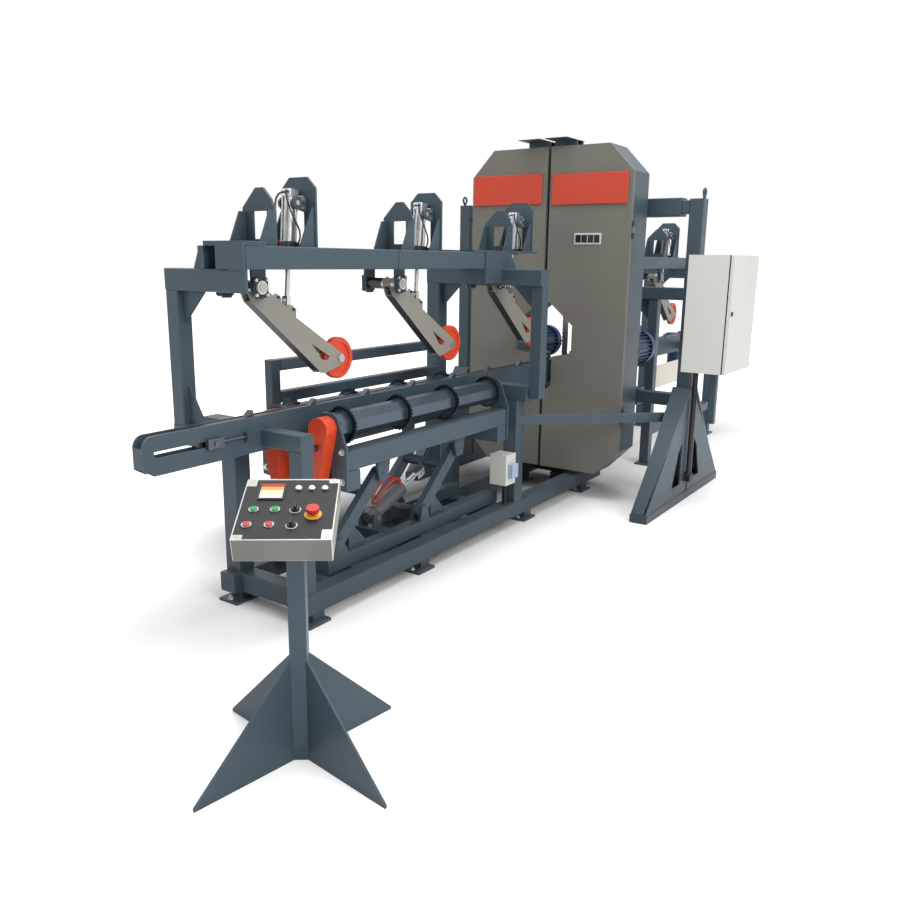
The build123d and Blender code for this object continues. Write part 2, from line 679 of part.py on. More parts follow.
# Four hold-down units: arm, wheel, cylinder and rod
for number, pivot_x in zip((1, 2, 3, 4), unit_pivot_x):
    lean = math.radians(-arm_angle)
    along = Vector(math.cos(lean), 0, math.sin(lean))
    over = Vector(-math.sin(lean), 0, math.cos(lean))
    hub = Vector(pivot_x, 0, pivot_z)
    arm_plane = Plane(origin=hub, x_dir=along, z_dir=(0, -1, 0))
    eye = hub + along * rod_eye_reach + over * rod_eye_rise
    tip = arm_length
    outline = ((-26, -14), (-10, -34), (31, -59), (tip - 89, -131), (tip - 62, -118), (tip + 16, -34),
               (tip + 34, -6), (tip + 28, 18), (tip - 6, 26), (307, 20), (290, 54), (252, 57), (222, 32),
               (192, 32), (178, 52), (138, 52), (128, 34), (-12, 36), (-26, 14))
    slot = ((tip - 226, -37), (tip - 78, -31), (tip - 80, -53), (tip - 116, -72))
    low_strip = ((31, -59), (tip - 110, -128), (tip - 110, -128 + arm_strip), (31, -59 + arm_strip))
    top_strip = ((310, 20 - arm_strip), (tip - 135, 24 - arm_strip), (tip - 135, 24), (310, 20))
    lug = ((rod_eye_reach - 70, -74), (rod_eye_reach + 70, -92), (rod_eye_reach + 20, rod_eye_rise + 20),
           (rod_eye_reach - 20, rod_eye_rise + 20))
    hub_near = hanger_y - plate_thick / 2 - 2
    hub_far = hanger_far_y - plate_thick / 2 - 2
    with BuildPart() as arm:
        for shift in (arm_half - arm_plate, -arm_half):
            with BuildSketch(arm_plane.offset(shift)):
                with BuildLine():
                    Polyline(*outline, close=True)
                make_face()
                with BuildLine():
                    Polyline(*slot, close=True)
                make_face(mode=Mode.SUBTRACT)
            extrude(amount=arm_plate)
        with BuildSketch(arm_plane.offset(-hub_far)):
            Circle(30)
        extrude(amount=hub_far + hub_near)
        with BuildSketch(arm_plane.offset(-hanger_far_y - 34)):
            Circle(pivot_pin_r)
        extrude(amount=hanger_far_y + hanger_y + 68)
        with BuildSketch(arm_plane.offset(-arm_half - 10)):
            with Locations((tip, 0)):
                Circle(axle_r)
        extrude(amount=2 * (arm_half + 10))
        for strip in (low_strip, top_strip):
            with BuildSketch(arm_plane.offset(-arm_half + arm_plate / 2)):
                with BuildLine():
                    Polyline(*strip, close=True)
                make_face()
            extrude(amount=2 * arm_half - arm_plate)
        with BuildSketch(arm_plane.offset(-7)):
            with BuildLine():
                Polyline(*lug, close=True)
            make_face()
            with Locations((rod_eye_reach, rod_eye_rise)):
                Circle(eye_pin_r + hold_play, mode=Mode.SUBTRACT)
        extrude(amount=14)
    arm.part.label = f"hold_down_arm_{number}"
    export_step(arm.part, f"parts/hold_down_arm_{number}.step")

    wheel_centre = hub + along * arm_length
    wheel_plane = Plane(origin=wheel_centre, x_dir=along, z_dir=(0, -1, 0))
    with BuildPart() as wheel:
        with BuildSketch(wheel_plane.offset(-wheel_width / 2)):
            with BuildLine():
                Polyline(*gear_points(wheel_r, wheel_tooth, wheel_teeth), close=True)
            make_face()
        extrude(amount=wheel_width)
        for face in (-wheel_width / 2, wheel_width / 2 - 8):
            with BuildSketch(wheel_plane.offset(face)):
                Circle(wheel_r - 26)
                Circle(38, mode=Mode.SUBTRACT)
            extrude(amount=8, mode=Mode.SUBTRACT)
        with BuildSketch(wheel_plane.offset(-wheel_width / 2 - 2)):
            Circle(30)
        extrude(amount=wheel_width + 4)
        with BuildSketch(wheel_plane.offset(-wheel_width)):
            Circle(axle_r + run_fit)
        extrude(amount=2 * wheel_width, mode=Mode.SUBTRACT)
    wheel.part.label = f"hold_down_wheel_{number}"
    export_step(wheel.part, f"parts/hold_down_wheel_{number}.step")

    trunnion = Vector(pivot_x + trunnion_dx, 0, trunnion_z)
    down = (eye - trunnion).normalized()
    reach = (eye - trunnion).length
    top_plane = Plane(origin=trunnion - down * cylinder_above, x_dir=(0, 1, 0), z_dir=down)
    length = cylinder_above + cylinder_below
    trunnion_half = cap_side / 2 + plate_thick + 14
    with BuildPart() as cylinder:
        with BuildSketch(top_plane):
            RectangleRounded(cap_side, cap_side, 6)
        extrude(amount=cap_thick)
        with BuildSketch(top_plane.offset(length - cap_thick)):
            RectangleRounded(cap_side, cap_side, 6)
        extrude(amount=cap_thick)
        with BuildSketch(top_plane.offset(cap_thick)):
            Circle(cylinder_r)
            with GridLocations(cap_side - 13, cap_side - 13, 2, 2):
                Circle(4)
        extrude(amount=length - 2 * cap_thick)
        with BuildSketch(Plane(origin=trunnion - Vector(0, trunnion_half, 0), z_dir=(0, 1, 0))):
            Circle(trunnion_r)
        extrude(amount=2 * trunnion_half)
        with BuildSketch(top_plane.offset(cap_thick)):
            Circle(cylinder_r - 4)
        extrude(amount=length - 2 * cap_thick, mode=Mode.SUBTRACT)
        with BuildSketch(top_plane.offset(length - cap_thick)):
            Circle(rod_r + run_fit)
        extrude(amount=cap_thick, mode=Mode.SUBTRACT)
    back = top_plane.y_dir * (-1 if top_plane.y_dir.X > 0 else 1)
    port = cap_side / 2
    hose_top = top_plane.origin + down * (cap_thick / 2) + back * port
    hose_end = hose_top + down * (length - cap_thick)
    with BuildPart() as hose:
        with BuildLine():
            FilletPolyline(hose_top, hose_top + back * hose_bow, hose_end + back * hose_bow, hose_end,
                           radius=hose_bow - 2)
        with BuildSketch(Plane(origin=hose_top, z_dir=back)):
            Circle(hose_r)
        sweep()
    group(f"hold_down_cylinder_{number}", cylinder.part, hose.part)

    rod_top = Plane(origin=trunnion + down * (piston_drop - 24), x_dir=(0, 1, 0), z_dir=down)
    rod_run = reach - piston_drop + 24 - 30
    with BuildPart() as rod:
        with BuildSketch(rod_top):
            Circle(cylinder_r - 4 - loose_fit)
        extrude(amount=24)
        with BuildSketch(rod_top):
            Circle(rod_r)
        extrude(amount=rod_run - 10)
        for side in (-1, 1):
            with BuildSketch(rod_top.offset(rod_run - 10)):
                with Locations((side * 12.5, 0)):
                    Rectangle(8, 28)
            extrude(amount=54)
        with BuildSketch(rod_top.offset(rod_run - 22)):
            Rectangle(33, 28)
        extrude(amount=14)
        with BuildSketch(Plane(origin=eye - Vector(0, 19, 0), z_dir=(0, 1, 0))):
            Circle(eye_pin_r)
        extrude(amount=38)
    rod.part.label = f"hold_down_rod_{number}"
    export_step(rod.part, f"parts/hold_down_rod_{number}.step")

# Log turner sub-frame: rails on the base cross pieces, pivot blocks, stops and cylinder clevis
sub_top = sub_rail_z + slim_tube / 2
rest = math.radians(link_rest)
sub = []
for side in (-1, 1):
    sub.append(tube((sub_front_x, side * sub_rail_y, sub_rail_z), (sub_rear_x, side * sub_rail_y, sub_rail_z),
                    slim_tube, slim_tube))
    for x in link_pivot_x:
        for shift in (-1, 1):
            mid = side * sub_rail_y + shift * (link_thick / 2 + 11)
            cheek = ((x - 44, sub_top), (x + 44, sub_top), (x + 30, link_pivot_z + 28), (x + 16, link_pivot_z + 38),
                     (x - 16, link_pivot_z + 38), (x - 30, link_pivot_z + 28))
            sub.append(xz_plate(mid - 8, 16, cheek, (), ((x, link_pivot_z, link_shaft_r + run_fit),)))
        under = link_width / 2 / math.cos(rest) + link_play
        stop = ((x + 100, sub_top), (x + 250, sub_top), (x + 135, link_pivot_z + 135 * math.tan(rest) - under),
                (x + 100, link_pivot_z + 100 * math.tan(rest) - under))
        sub.append(xz_plate(side * sub_rail_y - 6, 12, stop))
sub_inner = sub_rail_y - slim_tube / 2
sub.append(tube((lift_base_x, -sub_inner, sub_rail_z), (lift_base_x, sub_inner, sub_rail_z), slim_tube, slim_tube))
for side in (-1, 1):
    mid = side * (lift_r + 8)
    clevis = ((lift_base_x - 38, sub_top), (lift_base_x + 38, sub_top), (lift_base_x + 28, lift_base_z + 24),
              (lift_base_x - 28, lift_base_z + 24))
    sub.append(xz_plate(mid - 6, 12, clevis, (), ((lift_base_x, lift_base_z, lift_pin_r + run_fit),)))
group("turner_subframe", *sub)


def link_pair(x, with_lug):
    """Two parallel links on a pivot shaft, tied by a cross tube."""
    along = Vector(math.cos(rest), 0, math.sin(rest))
    with BuildPart() as piece:
        for side in (-1, 1):
            middle = Vector(x, side * sub_rail_y + link_thick / 2, link_pivot_z) + along * (link_length / 2)
            with BuildSketch(Plane(origin=middle, x_dir=along, z_dir=(0, -1, 0))):
                SlotCenterToCenter(link_length, link_width)
            extrude(amount=link_thick)
            top = Vector(x, 0, link_pivot_z) + along * link_length
            with BuildSketch(Plane(origin=top + Vector(0, side * sub_rail_y, 0), z_dir=(0, side, 0))):
                Circle(link_pin_r)
            extrude(amount=link_thick / 2 + 30)
        with BuildSketch(Plane(origin=(x, -sub_rail_y - link_thick, link_pivot_z), z_dir=(0, 1, 0))):
            Circle(link_shaft_r)
        extrude(amount=2 * (sub_rail_y + link_thick))
        tie = Vector(x, -sub_rail_y, link_pivot_z) + along * link_tube_at
        with BuildSketch(Plane(origin=tie, z_dir=(0, 1, 0))):
            Circle(30)
        extrude(amount=2 * sub_rail_y)
        if with_lug:
            with BuildSketch(Plane(origin=(x, 9, link_pivot_z), x_dir=along, z_dir=(0, -1, 0))):
                with Locations(((link_lug_at + link_tube_at) / 2, 0)):
                    SlotCenterToCenter(link_tube_at - link_lug_at, 56)
                with Locations((link_lug_at, 0)):
                    Circle(lift_pin_r + link_play, mode=Mode.SUBTRACT)
            extrude(amount=18)
    return piece


front_links = link_pair(link_pivot_x[0], False)
front_links.part.label = "turner_front_links"
export_step(front_links.part, "parts/turner_front_links.step")
rear_links = link_pair(link_pivot_x[1], True)
rear_links.part.label = "turner_rear_links"
export_step(rear_links.part, "parts/turner_rear_links.step")

# Turner carriage: side beams, cross tubes, end plates with roller bearings, hanging lugs
link_top_z = link_pivot_z + link_length * math.sin(rest)
link_run = link_length * math.cos(rest)
carriage_under = carriage_z - tube_size / 2
plates_x = (carriage_front_x, carriage_rear_x)
carriage = []
for side in (-1, 1):
    carriage.append(tube((plates_x[0] + plate_thick, side * carriage_y, carriage_z),
                         (plates_x[1], side * carriage_y, carriage_z)))
    shape = [(side * u, v) for u, v in ((290, 610), (290, 820), (228, 968), (205, 985), (135, 985), (112, 962),
                                        (112, 860), (190, 760), (190, 610))]
    for x in plates_x:
        carriage.append(yz_plate(x, plate_thick, shape, (), ((side * roller_y, roller_z, roller_shaft_r + run_fit),)))
    for x in link_pivot_x:
        lug_y = side * (sub_rail_y + link_thick / 2 + 20)
        lug = ((x + link_run - 60, carriage_under), (x + link_run - 34, link_top_z - 34),
               (x + link_run + 34, link_top_z - 34), (x + link_run + 60, carriage_under))
        carriage.append(xz_plate(lug_y - 8, 16, lug, (), ((x + link_run, link_top_z, link_pin_r + run_fit),)))
for x in (plates_x[0] + plate_thick + 50, plates_x[1] - 50):
    carriage.append(tube((x, -carriage_y - 50, carriage_cross_z), (x, carriage_y + 50, carriage_cross_z)))
group("turner_carriage", *carriage)


def log_roller(side):
    """Eight-sided drum with four toothed discs and a drive sprocket on one shaft."""
    y = side * roller_y
    face = Plane(origin=(0, y, roller_z), x_dir=(0, 1, 0), z_dir=(1, 0, 0))
    drum_x = (plates_x[0] + plate_thick + 12, plates_x[1] - 12)
    with BuildPart() as piece:
        with BuildSketch(face.offset(drum_x[0])):
            RegularPolygon(drum_across / 2, 8, major_radius=False, rotation=22.5)
        extrude(amount=drum_x[1] - drum_x[0])
        for i in range(4):
            with BuildSketch(face.offset(disc_first_x + i * disc_pitch - disc_thick / 2)):
                with BuildLine():
                    Polyline(*gear_points(disc_r, disc_tooth, disc_teeth), close=True)
                make_face()
            extrude(amount=disc_thick)
        with BuildSketch(face.offset(plates_x[0] - 46)):
            Circle(roller_shaft_r)
        extrude(amount=plates_x[1] - plates_x[0] + plate_thick + 66)
        with BuildSketch(face.offset(plates_x[0] - 40)):
            with BuildLine():
                Polyline(*gear_points(*roller_sprocket), close=True)
            make_face()
        extrude(amount=14)
    return piece


near_roller = log_roller(-1)
near_roller.part.label = "near_log_roller"
export_step(near_roller.part, "parts/near_log_roller.step")
far_roller = log_roller(1)
far_roller.part.label = "far_log_roller"
export_step(far_roller.part, "parts/far_log_roller.step")

# Orange chain guards on the front end plates, open towards the plate
guard_low_y = 122.0
guard_low_z = 600.0
guard_top_r = 60.0
guard_low_r = 36.0
guard_stud = (24.0, 17.0, 88.0)
guards = []
for side in (-1, 1):
    with BuildPart() as guard:
        for shrink, start, mode in ((0, 0, Mode.ADD), (sheet, sheet, Mode.SUBTRACT)):
            plane = Plane(origin=(carriage_front_x - guard_depth + start, 0, 0), x_dir=(0, 1, 0), z_dir=(1, 0, 0))
            with BuildSketch(plane):
                with Locations((side * roller_y, roller_z)):
                    Circle(guard_top_r - shrink)
                with Locations((side * guard_low_y, guard_low_z)):
                    Circle(guard_low_r - shrink)
                make_hull()
            extrude(amount=guard_depth - start, mode=mode)
    guards.append(guard.part)
    stud_z = roller_z - guard_stud[2]
    stud_y = side * (roller_y - 12)
    guards.append(bar((carriage_front_x - guard_depth - guard_stud[0], stud_y, stud_z),
                      (carriage_front_x - guard_depth, stud_y, stud_z), guard_stud[1]))
group("turner_chain_guards", *guards)

# Turner gearmotor under the front cross tube
gear_x = plates_x[0] + plate_thick + 50
turner_gearbox = block(gear_x - 50, gear_x + 50, -64, 64, 490, carriage_cross_z - 50)
turner_motor = bar((gear_x, 64, 545), (gear_x, 250, 545), 48)
drive_shaft = bar((gear_x - 50, 0, 545), (gear_x - 72, 0, 545), 14)
group("turner_gearmotor", turner_gearbox, turner_motor, drive_shaft)

# Lift cylinder of the turner, pinned at the sub-frame, and its rod on the rear links
lift_base = Vector(lift_base_x, 0, lift_base_z)
lift_eye = Vector(link_pivot_x[1] + link_lug_at * math.cos(rest), 0, link_pivot_z + link_lug_at * math.sin(rest))
lift_dir = (lift_eye - lift_base).normalized()
lift_reach = (lift_eye - lift_base).length
lift_plane = Plane(origin=lift_base, x_dir=(0, 1, 0), z_dir=lift_dir)
lift_body = 300.0
with BuildPart() as lift_cylinder:
    with BuildSketch(lift_plane.offset(-24)):
        Circle(lift_r - 6)
    extrude(amount=60)
    with BuildSketch(lift_plane.offset(30)):
        Circle(lift_r)
    extrude(amount=lift_body - 30)
    with BuildSketch(Plane(origin=lift_base - Vector(0, lift_r + 20, 0), z_dir=(0, 1, 0))):
        Circle(lift_pin_r)
    extrude(amount=2 * (lift_r + 20))
    with BuildSketch(lift_plane.offset(60)):
        Circle(lift_r - 6)
    extrude(amount=lift_body - 100, mode=Mode.SUBTRACT)
    with BuildSketch(lift_plane.offset(lift_body - 40)):
        Circle(lift_rod_r + run_fit)
    extrude(amount=40, mode=Mode.SUBTRACT)
lift_cylinder.part.label = "turner_lift_cylinder"
export_step(lift_cylinder.part, "parts/turner_lift_cylinder.step")

piston_at = 150.0
with BuildPart() as lift_rod:
    with BuildSketch(lift_plane.offset(piston_at)):
        Circle(lift_r - 6 - loose_fit)
    extrude(amount=30)
    with BuildSketch(lift_plane.offset(piston_at)):
        Circle(lift_rod_r)
    extrude(amount=lift_reach - piston_at - 40)
    with BuildSketch(lift_plane.offset(lift_reach - 50)):
        Rectangle(58, 44)
    extrude(amount=14)
    for side in (-1, 1):
        with BuildSketch(lift_plane.offset(lift_reach - 40)):
            with Locations((side * 20, 0)):
                Rectangle(18, 44)
        extrude(amount=62)
    with BuildSketch(Plane(origin=lift_eye - Vector(0, 34, 0), z_dir=(0, 1, 0))):
        Circle(lift_pin_r)
    extrude(amount=68)
lift_rod.part.label = "turner_lift_rod"
export_step(lift_rod.part, "parts/turner_lift_rod.step")

# Saw gantry: A-shaped feet, columns, guide beams, lifting eyes, bed block, tie bar and cable duct
gantry = []
foot_rise = foot_apex_z - foot_base_h
foot_run = foot_half_x - tube_size / 2
flange_length = math.hypot(foot_rise, foot_run)
for side in (-1, 1):
    y = side * column_y
    gantry.append(post(0, y, foot_base_h, column_top_z))
    gantry.append(tube((-foot_half_x, y, foot_base_h / 2), (foot_half_x, y, foot_base_h / 2),
                       2 * foot_half_y + 14, foot_base_h))
    for end in (-1, 1):
        web = ((end * foot_half_x, foot_base_h), (end * 50, foot_base_h), (end * 50, foot_apex_z))
        window = ((end * 300, foot_base_h + 80), (end * 130, foot_base_h + 80), (end * 130, 450), (end * 200, 390))
        for skin in (-foot_half_y, foot_half_y - 10):
            gantry.append(xz_plate(y + skin, 10, web, (window,)))
        climb = Vector(-end * foot_run, 0, foot_rise)
        away = Vector(end * foot_rise, 0, foot_run)
        gantry.append(flat(Plane(origin=(end * foot_half_x, y, foot_base_h), x_dir=climb, z_dir=away),
                           ((0, -36), (flange_length, -70), (flange_length, 70), (0, 36)), 16))
    with BuildPart() as eye_bolt:
        with BuildSketch(Plane(origin=(0, side * eye_bolt_y, column_top_z + 46), x_dir=(1, 0, 0), z_dir=(0, 0, 1))):
            with Locations((24, 0)):
                Circle(8)
        revolve(axis=Axis((0, side * eye_bolt_y, column_top_z + 46), (0, 1, 0)), revolution_arc=360)
        with BuildSketch(Plane.XY.offset(column_top_z + 4)):
            with Locations((0, side * eye_bolt_y)):
                Circle(11)
        extrude(amount=16)
    gantry.append(eye_bolt.part)
    gantry.append(block(-50, 50, y - 50, y + 50, column_top_z, column_top_z + 4))
column_inner = column_y - tube_size / 2
beam_half = guide_beam / 2
for z in (top_beam_z, low_beam_z):
    gantry.append(tube((0, -column_inner, z), (0, column_inner, z), guide_beam, guide_beam))
gantry.append(block(-beam_half, beam_half, -beam_half, beam_half, low_beam_z + beam_half, bed_bottom_z))
tie_from = (leg_x[1] + 39, 707.0)
tie_to = (-135.0, 630.0)
tie_ends = (-rail_y - tube_size / 2, -column_y + foot_half_y)
with BuildPart() as tie_bar:
    for wall, mode in ((0, Mode.ADD), (5, Mode.SUBTRACT)):
        for (x, z), y in zip((tie_from, tie_to), tie_ends):
            with BuildSketch(xz(y)):
                with Locations((x, z)):
                    Rectangle(tie_tube + 10 - 2 * wall, tie_tube - 2 * wall)
        loft(mode=mode)
gantry.append(tie_bar.part)
gantry.append(post(20, -1150, 590, box_z[0], duct_tube))
for z in (1130.0, 1610.0):
    gantry.append(block(-50, 50, box_y[1], -column_y - tube_size / 2, z, z + 50))
group("saw_gantry", *gantry)


def saw_outline(side):
    """Half octagon of one saw with the stepped throat on its inner edge, in Y and Z."""
    points = ((seam_half, saw_bottom_z), (saw_top_half, saw_bottom_z), (saw_half, saw_knee_z),
              (saw_half, saw_shoulder_z), (saw_top_half, saw_top_z), (seam_half, saw_top_z),
              (seam_half, throat_top_z), (throat_half, throat_wide_z[1]), (throat_half, throat_wide_z[0]),
              (throat_slot, throat_slot_z[1]), (throat_slot, throat_slot_z[0]), (seam_half, throat_foot_z))
    return [(side * y, z) for y, z in points]


def saw_tray(side, front, depth, open_at_front):
    """Sheet tray with the saw outline, open on one face."""
    base_plane = Plane(origin=(front, 0, 0), x_dir=(0, 1, 0), z_dir=(1, 0, 0))
    with BuildPart() as piece:
        with BuildSketch(base_plane):
            with BuildLine():
                Polyline(*saw_outline(side), close=True)
            make_face()
        extrude(amount=depth)
        with BuildSketch(base_plane.offset(0 if open_at_front else sheet)):
            with BuildLine():
                Polyline(*saw_outline(side), close=True)
            make_face()
            offset(amount=-sheet, kind=Kind.INTERSECTION, mode=Mode.REPLACE)
        extrude(amount=depth - sheet, mode=Mode.SUBTRACT)
        with BuildSketch(Plane.XY.offset(1000)):
            with Locations((band_x, side * (band_y - band_r))):
                Rectangle(blade_width + 40, 24)
        extrude(amount=420, mode=Mode.SUBTRACT if open_at_front else Mode.PRIVATE)
        if open_at_front:
            with BuildSketch(base_plane):
                with Locations((side * band_y, band_low_z), (side * band_y, band_high_z)):
                    Circle(spindle_housing_r + 4)
            extrude(amount=depth, mode=Mode.SUBTRACT)
    return piece


shell_front = saw_front_x + door_depth + 1
shell_back = saw_front_x + saw_depth
column_back = shell_back + saw_column_depth
column_mid_y = 380.0
guard_front = sleeve_side / 2
guard_back = guard_front + 56
door_seams = (saw_bottom_z, throat_slot_z[0], *throat_wide_z, saw_top_z)
for side, where in ((-1, "near"), (1, "far")):
    # Cabinet shell, column, spindle housings and the sleeves that slide on the gantry beams
    shell = saw_tray(side, shell_front, shell_back - shell_front, True)
    hinge_y = side * (saw_half + hinge_r)
    hinge_x = shell_front - 0.5
    pieces = [shell.part]
    for z in hinge_heights:
        for low in (z - 60, z + 20):
            pieces.append(bar((hinge_x, hinge_y, low), (hinge_x, hinge_y, low + 40), hinge_r, hinge_pin_r))
            pieces.append(block(hinge_x + hinge_r, hinge_x + hinge_r + 40, side * saw_half, side * (saw_half + 6),
                                low, low + 40))
        pieces.append(bar((hinge_x, hinge_y, z - 60), (hinge_x, hinge_y, z + 60), hinge_pin_r))
    column_x = shell_back + saw_column_depth / 2
    pieces.append(tube((column_x, side * column_mid_y, saw_column_low_z), (column_x, side * column_mid_y, saw_column_top_z),
                       saw_column_width, saw_column_depth, 10, up=(1, 0, 0)))
    pieces.append(bar((column_back, side * band_y, band_low_z), (guard_front, side * band_y, band_low_z), 60))
    flap_y = (side * (seam_half + 6), side * 190)
    flap_z = saw_top_z + flap_lift
    pieces.append(block(saw_front_x - flap_reach, shell_front + 130, *flap_y, flap_z, flap_z + sheet))
    for x in (shell_front + 12, shell_front + 100):
        pieces.append(block(x, x + 12, *flap_y, saw_top_z, flap_z))
    for z in (band_low_z, band_high_z):
        pieces.append(bar((shell_back, side * band_y, z), (shell_back - 70, side * band_y, z),
                          spindle_housing_r, spindle_r + run_fit))
    for z, outer in ((top_beam_z, sleeve_outer_y), (low_beam_z, low_sleeve_outer_y)):
        wall = (sleeve_side - guide_beam) / 2 - guide_play
        pieces.append(tube((0, side * sleeve_inner_y, z), (0, side * outer, z), sleeve_side, sleeve_side, wall,
                           capped=False))
    pieces.append(block(column_back, guard_front, side * 360, side * 545, motor_z - 110, motor_z + 110))
    group(f"{where}_saw_frame", *pieces)

    # Door in four welded panels with hinge knuckles
    door = saw_tray(side, saw_front_x, door_depth, False)
    knuckles = []
    for z in hinge_heights:
        knuckles.append(bar((hinge_x, hinge_y, z - 19.5), (hinge_x, hinge_y, z + 19.5), hinge_r, hinge_pin_r + run_fit))
        knuckles.append(block(hinge_x - hinge_r - 6, hinge_x - hinge_r, side * saw_half, hinge_y, z - 19.5, z + 19.5))
    panels = []
    for low, high in zip(door_seams, door_seams[1:]):
        strip = block(saw_front_x, saw_front_x + door_depth, -saw_half, saw_half, low, high)
        panels.extend((door.part & strip).solids())
    group(f"{where}_saw_door", *panels, *knuckles)

    # Band wheels with their spindles
    for z, level in ((band_low_z, "lower"), (band_high_z, "upper")):
        front = band_x - band_wheel_width / 2
        rear = band_x + band_wheel_width / 2
        with BuildPart() as band_wheel:
            with BuildSketch(Plane(origin=(0, side * band_y, z), x_dir=(1, 0, 0), z_dir=(0, -1, 0))):
                with BuildLine():
                    Polyline((front, band_r), (front, band_r - 22), (band_x - 9, band_r - 26), (band_x - 9, 66),
                             (front, 62), (front, 0), (shell_back - 4, 0), (shell_back - 4, spindle_r),
                             (rear, spindle_r), (rear, 62), (band_x + 9, 66), (band_x + 9, band_r - 26),
                             (rear, band_r - 22), (rear, band_r), close=True)
                make_face()
            revolve(axis=Axis((0, side * band_y, z), (1, 0, 0)), revolution_arc=360)
            with BuildSketch(Plane(origin=(front, side * band_y, z), x_dir=(0, 1, 0), z_dir=(1, 0, 0))):
                with PolarLocations(142, 6):
                    Circle(44)
            extrude(amount=band_wheel_width, mode=Mode.SUBTRACT)
        band_wheel.part.label = f"{where}_{level}_band_wheel"
        export_step(band_wheel.part, f"parts/{where}_{level}_band_wheel.step")

    # Band blade round both wheels, toothed on the cutting run
    cut_y = side * (band_y - band_r)
    mid_z = (band_low_z + band_high_z) / 2
    blade_front = band_x - blade_width / 2
    with BuildPart() as blade:
        with BuildSketch(Plane(origin=(blade_front, side * band_y, mid_z), x_dir=(0, 0, 1), z_dir=(1, 0, 0))):
            SlotCenterToCenter(band_high_z - band_low_z, 2 * (band_r + blade_gap + blade_thick))
            SlotCenterToCenter(band_high_z - band_low_z, 2 * (band_r + blade_gap), mode=Mode.SUBTRACT)
        extrude(amount=blade_width)
        with BuildSketch(xz(cut_y + 20)):
            for i in range(22):
                z = 900 + 28 * i
                with BuildLine():
                    Polyline((blade_front, z), (blade_front + blade_tooth, z), (blade_front, z + 26), close=True)
                make_face()
        extrude(amount=40, mode=Mode.SUBTRACT)
    blade.part.label = f"{where}_band_blade"
    export_step(blade.part, f"parts/{where}_band_blade.step")

    # Saw motor with cooling fins, end bells, terminal box and belt guard
    motor_front = guard_back + 20
    with BuildPart() as motor:
        with BuildSketch(Plane(origin=(motor_front, side * motor_y, motor_z), x_dir=(0, 1, 0), z_dir=(1, 0, 0))):
            Circle(motor_r - 16)
            with PolarLocations(motor_r - 16, 24):
                Rectangle(28, 6)
        extrude(amount=motor_length)
        with BuildSketch(Plane(origin=(motor_front - 20, side * motor_y, motor_z), x_dir=(0, 1, 0), z_dir=(1, 0, 0))):
            Circle(motor_r)
        extrude(amount=20)
        with BuildSketch(Plane(origin=(motor_front + motor_length, side * motor_y, motor_z), x_dir=(0, 1, 0),
                               z_dir=(1, 0, 0))):
            Circle(motor_r + 4)
        extrude(amount=motor_bell)
        with BuildSketch(Plane.XY.offset(motor_z + motor_r - 20)):
            with Locations((motor_front + 110, side * motor_y)):
                Rectangle(130, 110)
        extrude(amount=70)
    with BuildPart() as belt_guard:
        with BuildSketch(Plane(origin=(guard_front, 0, 0), x_dir=(0, 1, 0), z_dir=(1, 0, 0))):
            with Locations((side * motor_y, motor_z)):
                Circle(118)
            with Locations((side * band_y, band_low_z)):
                Circle(150)
            make_hull()
        extrude(amount=guard_back - guard_front)
    group(f"{where}_saw_motor", motor.part, belt_guard.part)

# Electrical enclosure: box open to the near side, conduits below, door with a lock
inner_x = (box_x[0] + box_sheet, box_x[1] - box_sheet)
with BuildPart() as box:
    with BuildSketch(Plane.XY.offset(box_z[0])):
        with Locations(((box_x[0] + box_x[1]) / 2, (box_y[0] + box_y[1]) / 2)):
            Rectangle(box_x[1] - box_x[0], box_y[1] - box_y[0])
    extrude(amount=box_z[1] - box_z[0])
    with BuildSketch(xz(box_y[1] - box_sheet)):
        with Locations(((box_x[0] + box_x[1]) / 2, (box_z[0] + box_z[1]) / 2)):
            Rectangle(box_x[1] - box_x[0] - 2 * box_sheet, box_z[1] - box_z[0] - 2 * box_sheet)
    extrude(amount=box_y[1] - box_y[0], mode=Mode.SUBTRACT)
box_hinge = (box_x[1] + 7.0, box_y[0] - 0.5)
box_pieces = [box.part]
for z in (box_z[0] + 130, box_z[1] - 130):
    box_pieces.append(bar((box_hinge[0], box_hinge[1], z - 45), (box_hinge[0], box_hinge[1], z - 15), 6))
    box_pieces.append(block(box_x[1], box_x[1] + 7, box_hinge[1] + 6, box_hinge[1] + 30, z - 45, z - 15))
conduit_y = -column_y - tube_size / 2 - 25
for x in (-26.0, 8.0):
    box_pieces.append(bar((x, conduit_y, 200), (x, conduit_y, box_z[0]), 13))
box_pieces.append(block(-48, 30, conduit_y - 25, conduit_y + 25, 150, 200))
mount_plate = block(inner_x[0] + 40, inner_x[1] - 40, box_y[1] - box_sheet - 20, box_y[1] - box_sheet,
                    box_z[0] + 60, box_z[1] - 60)
box_pieces.append(mount_plate)
group("electric_enclosure", *box_pieces)

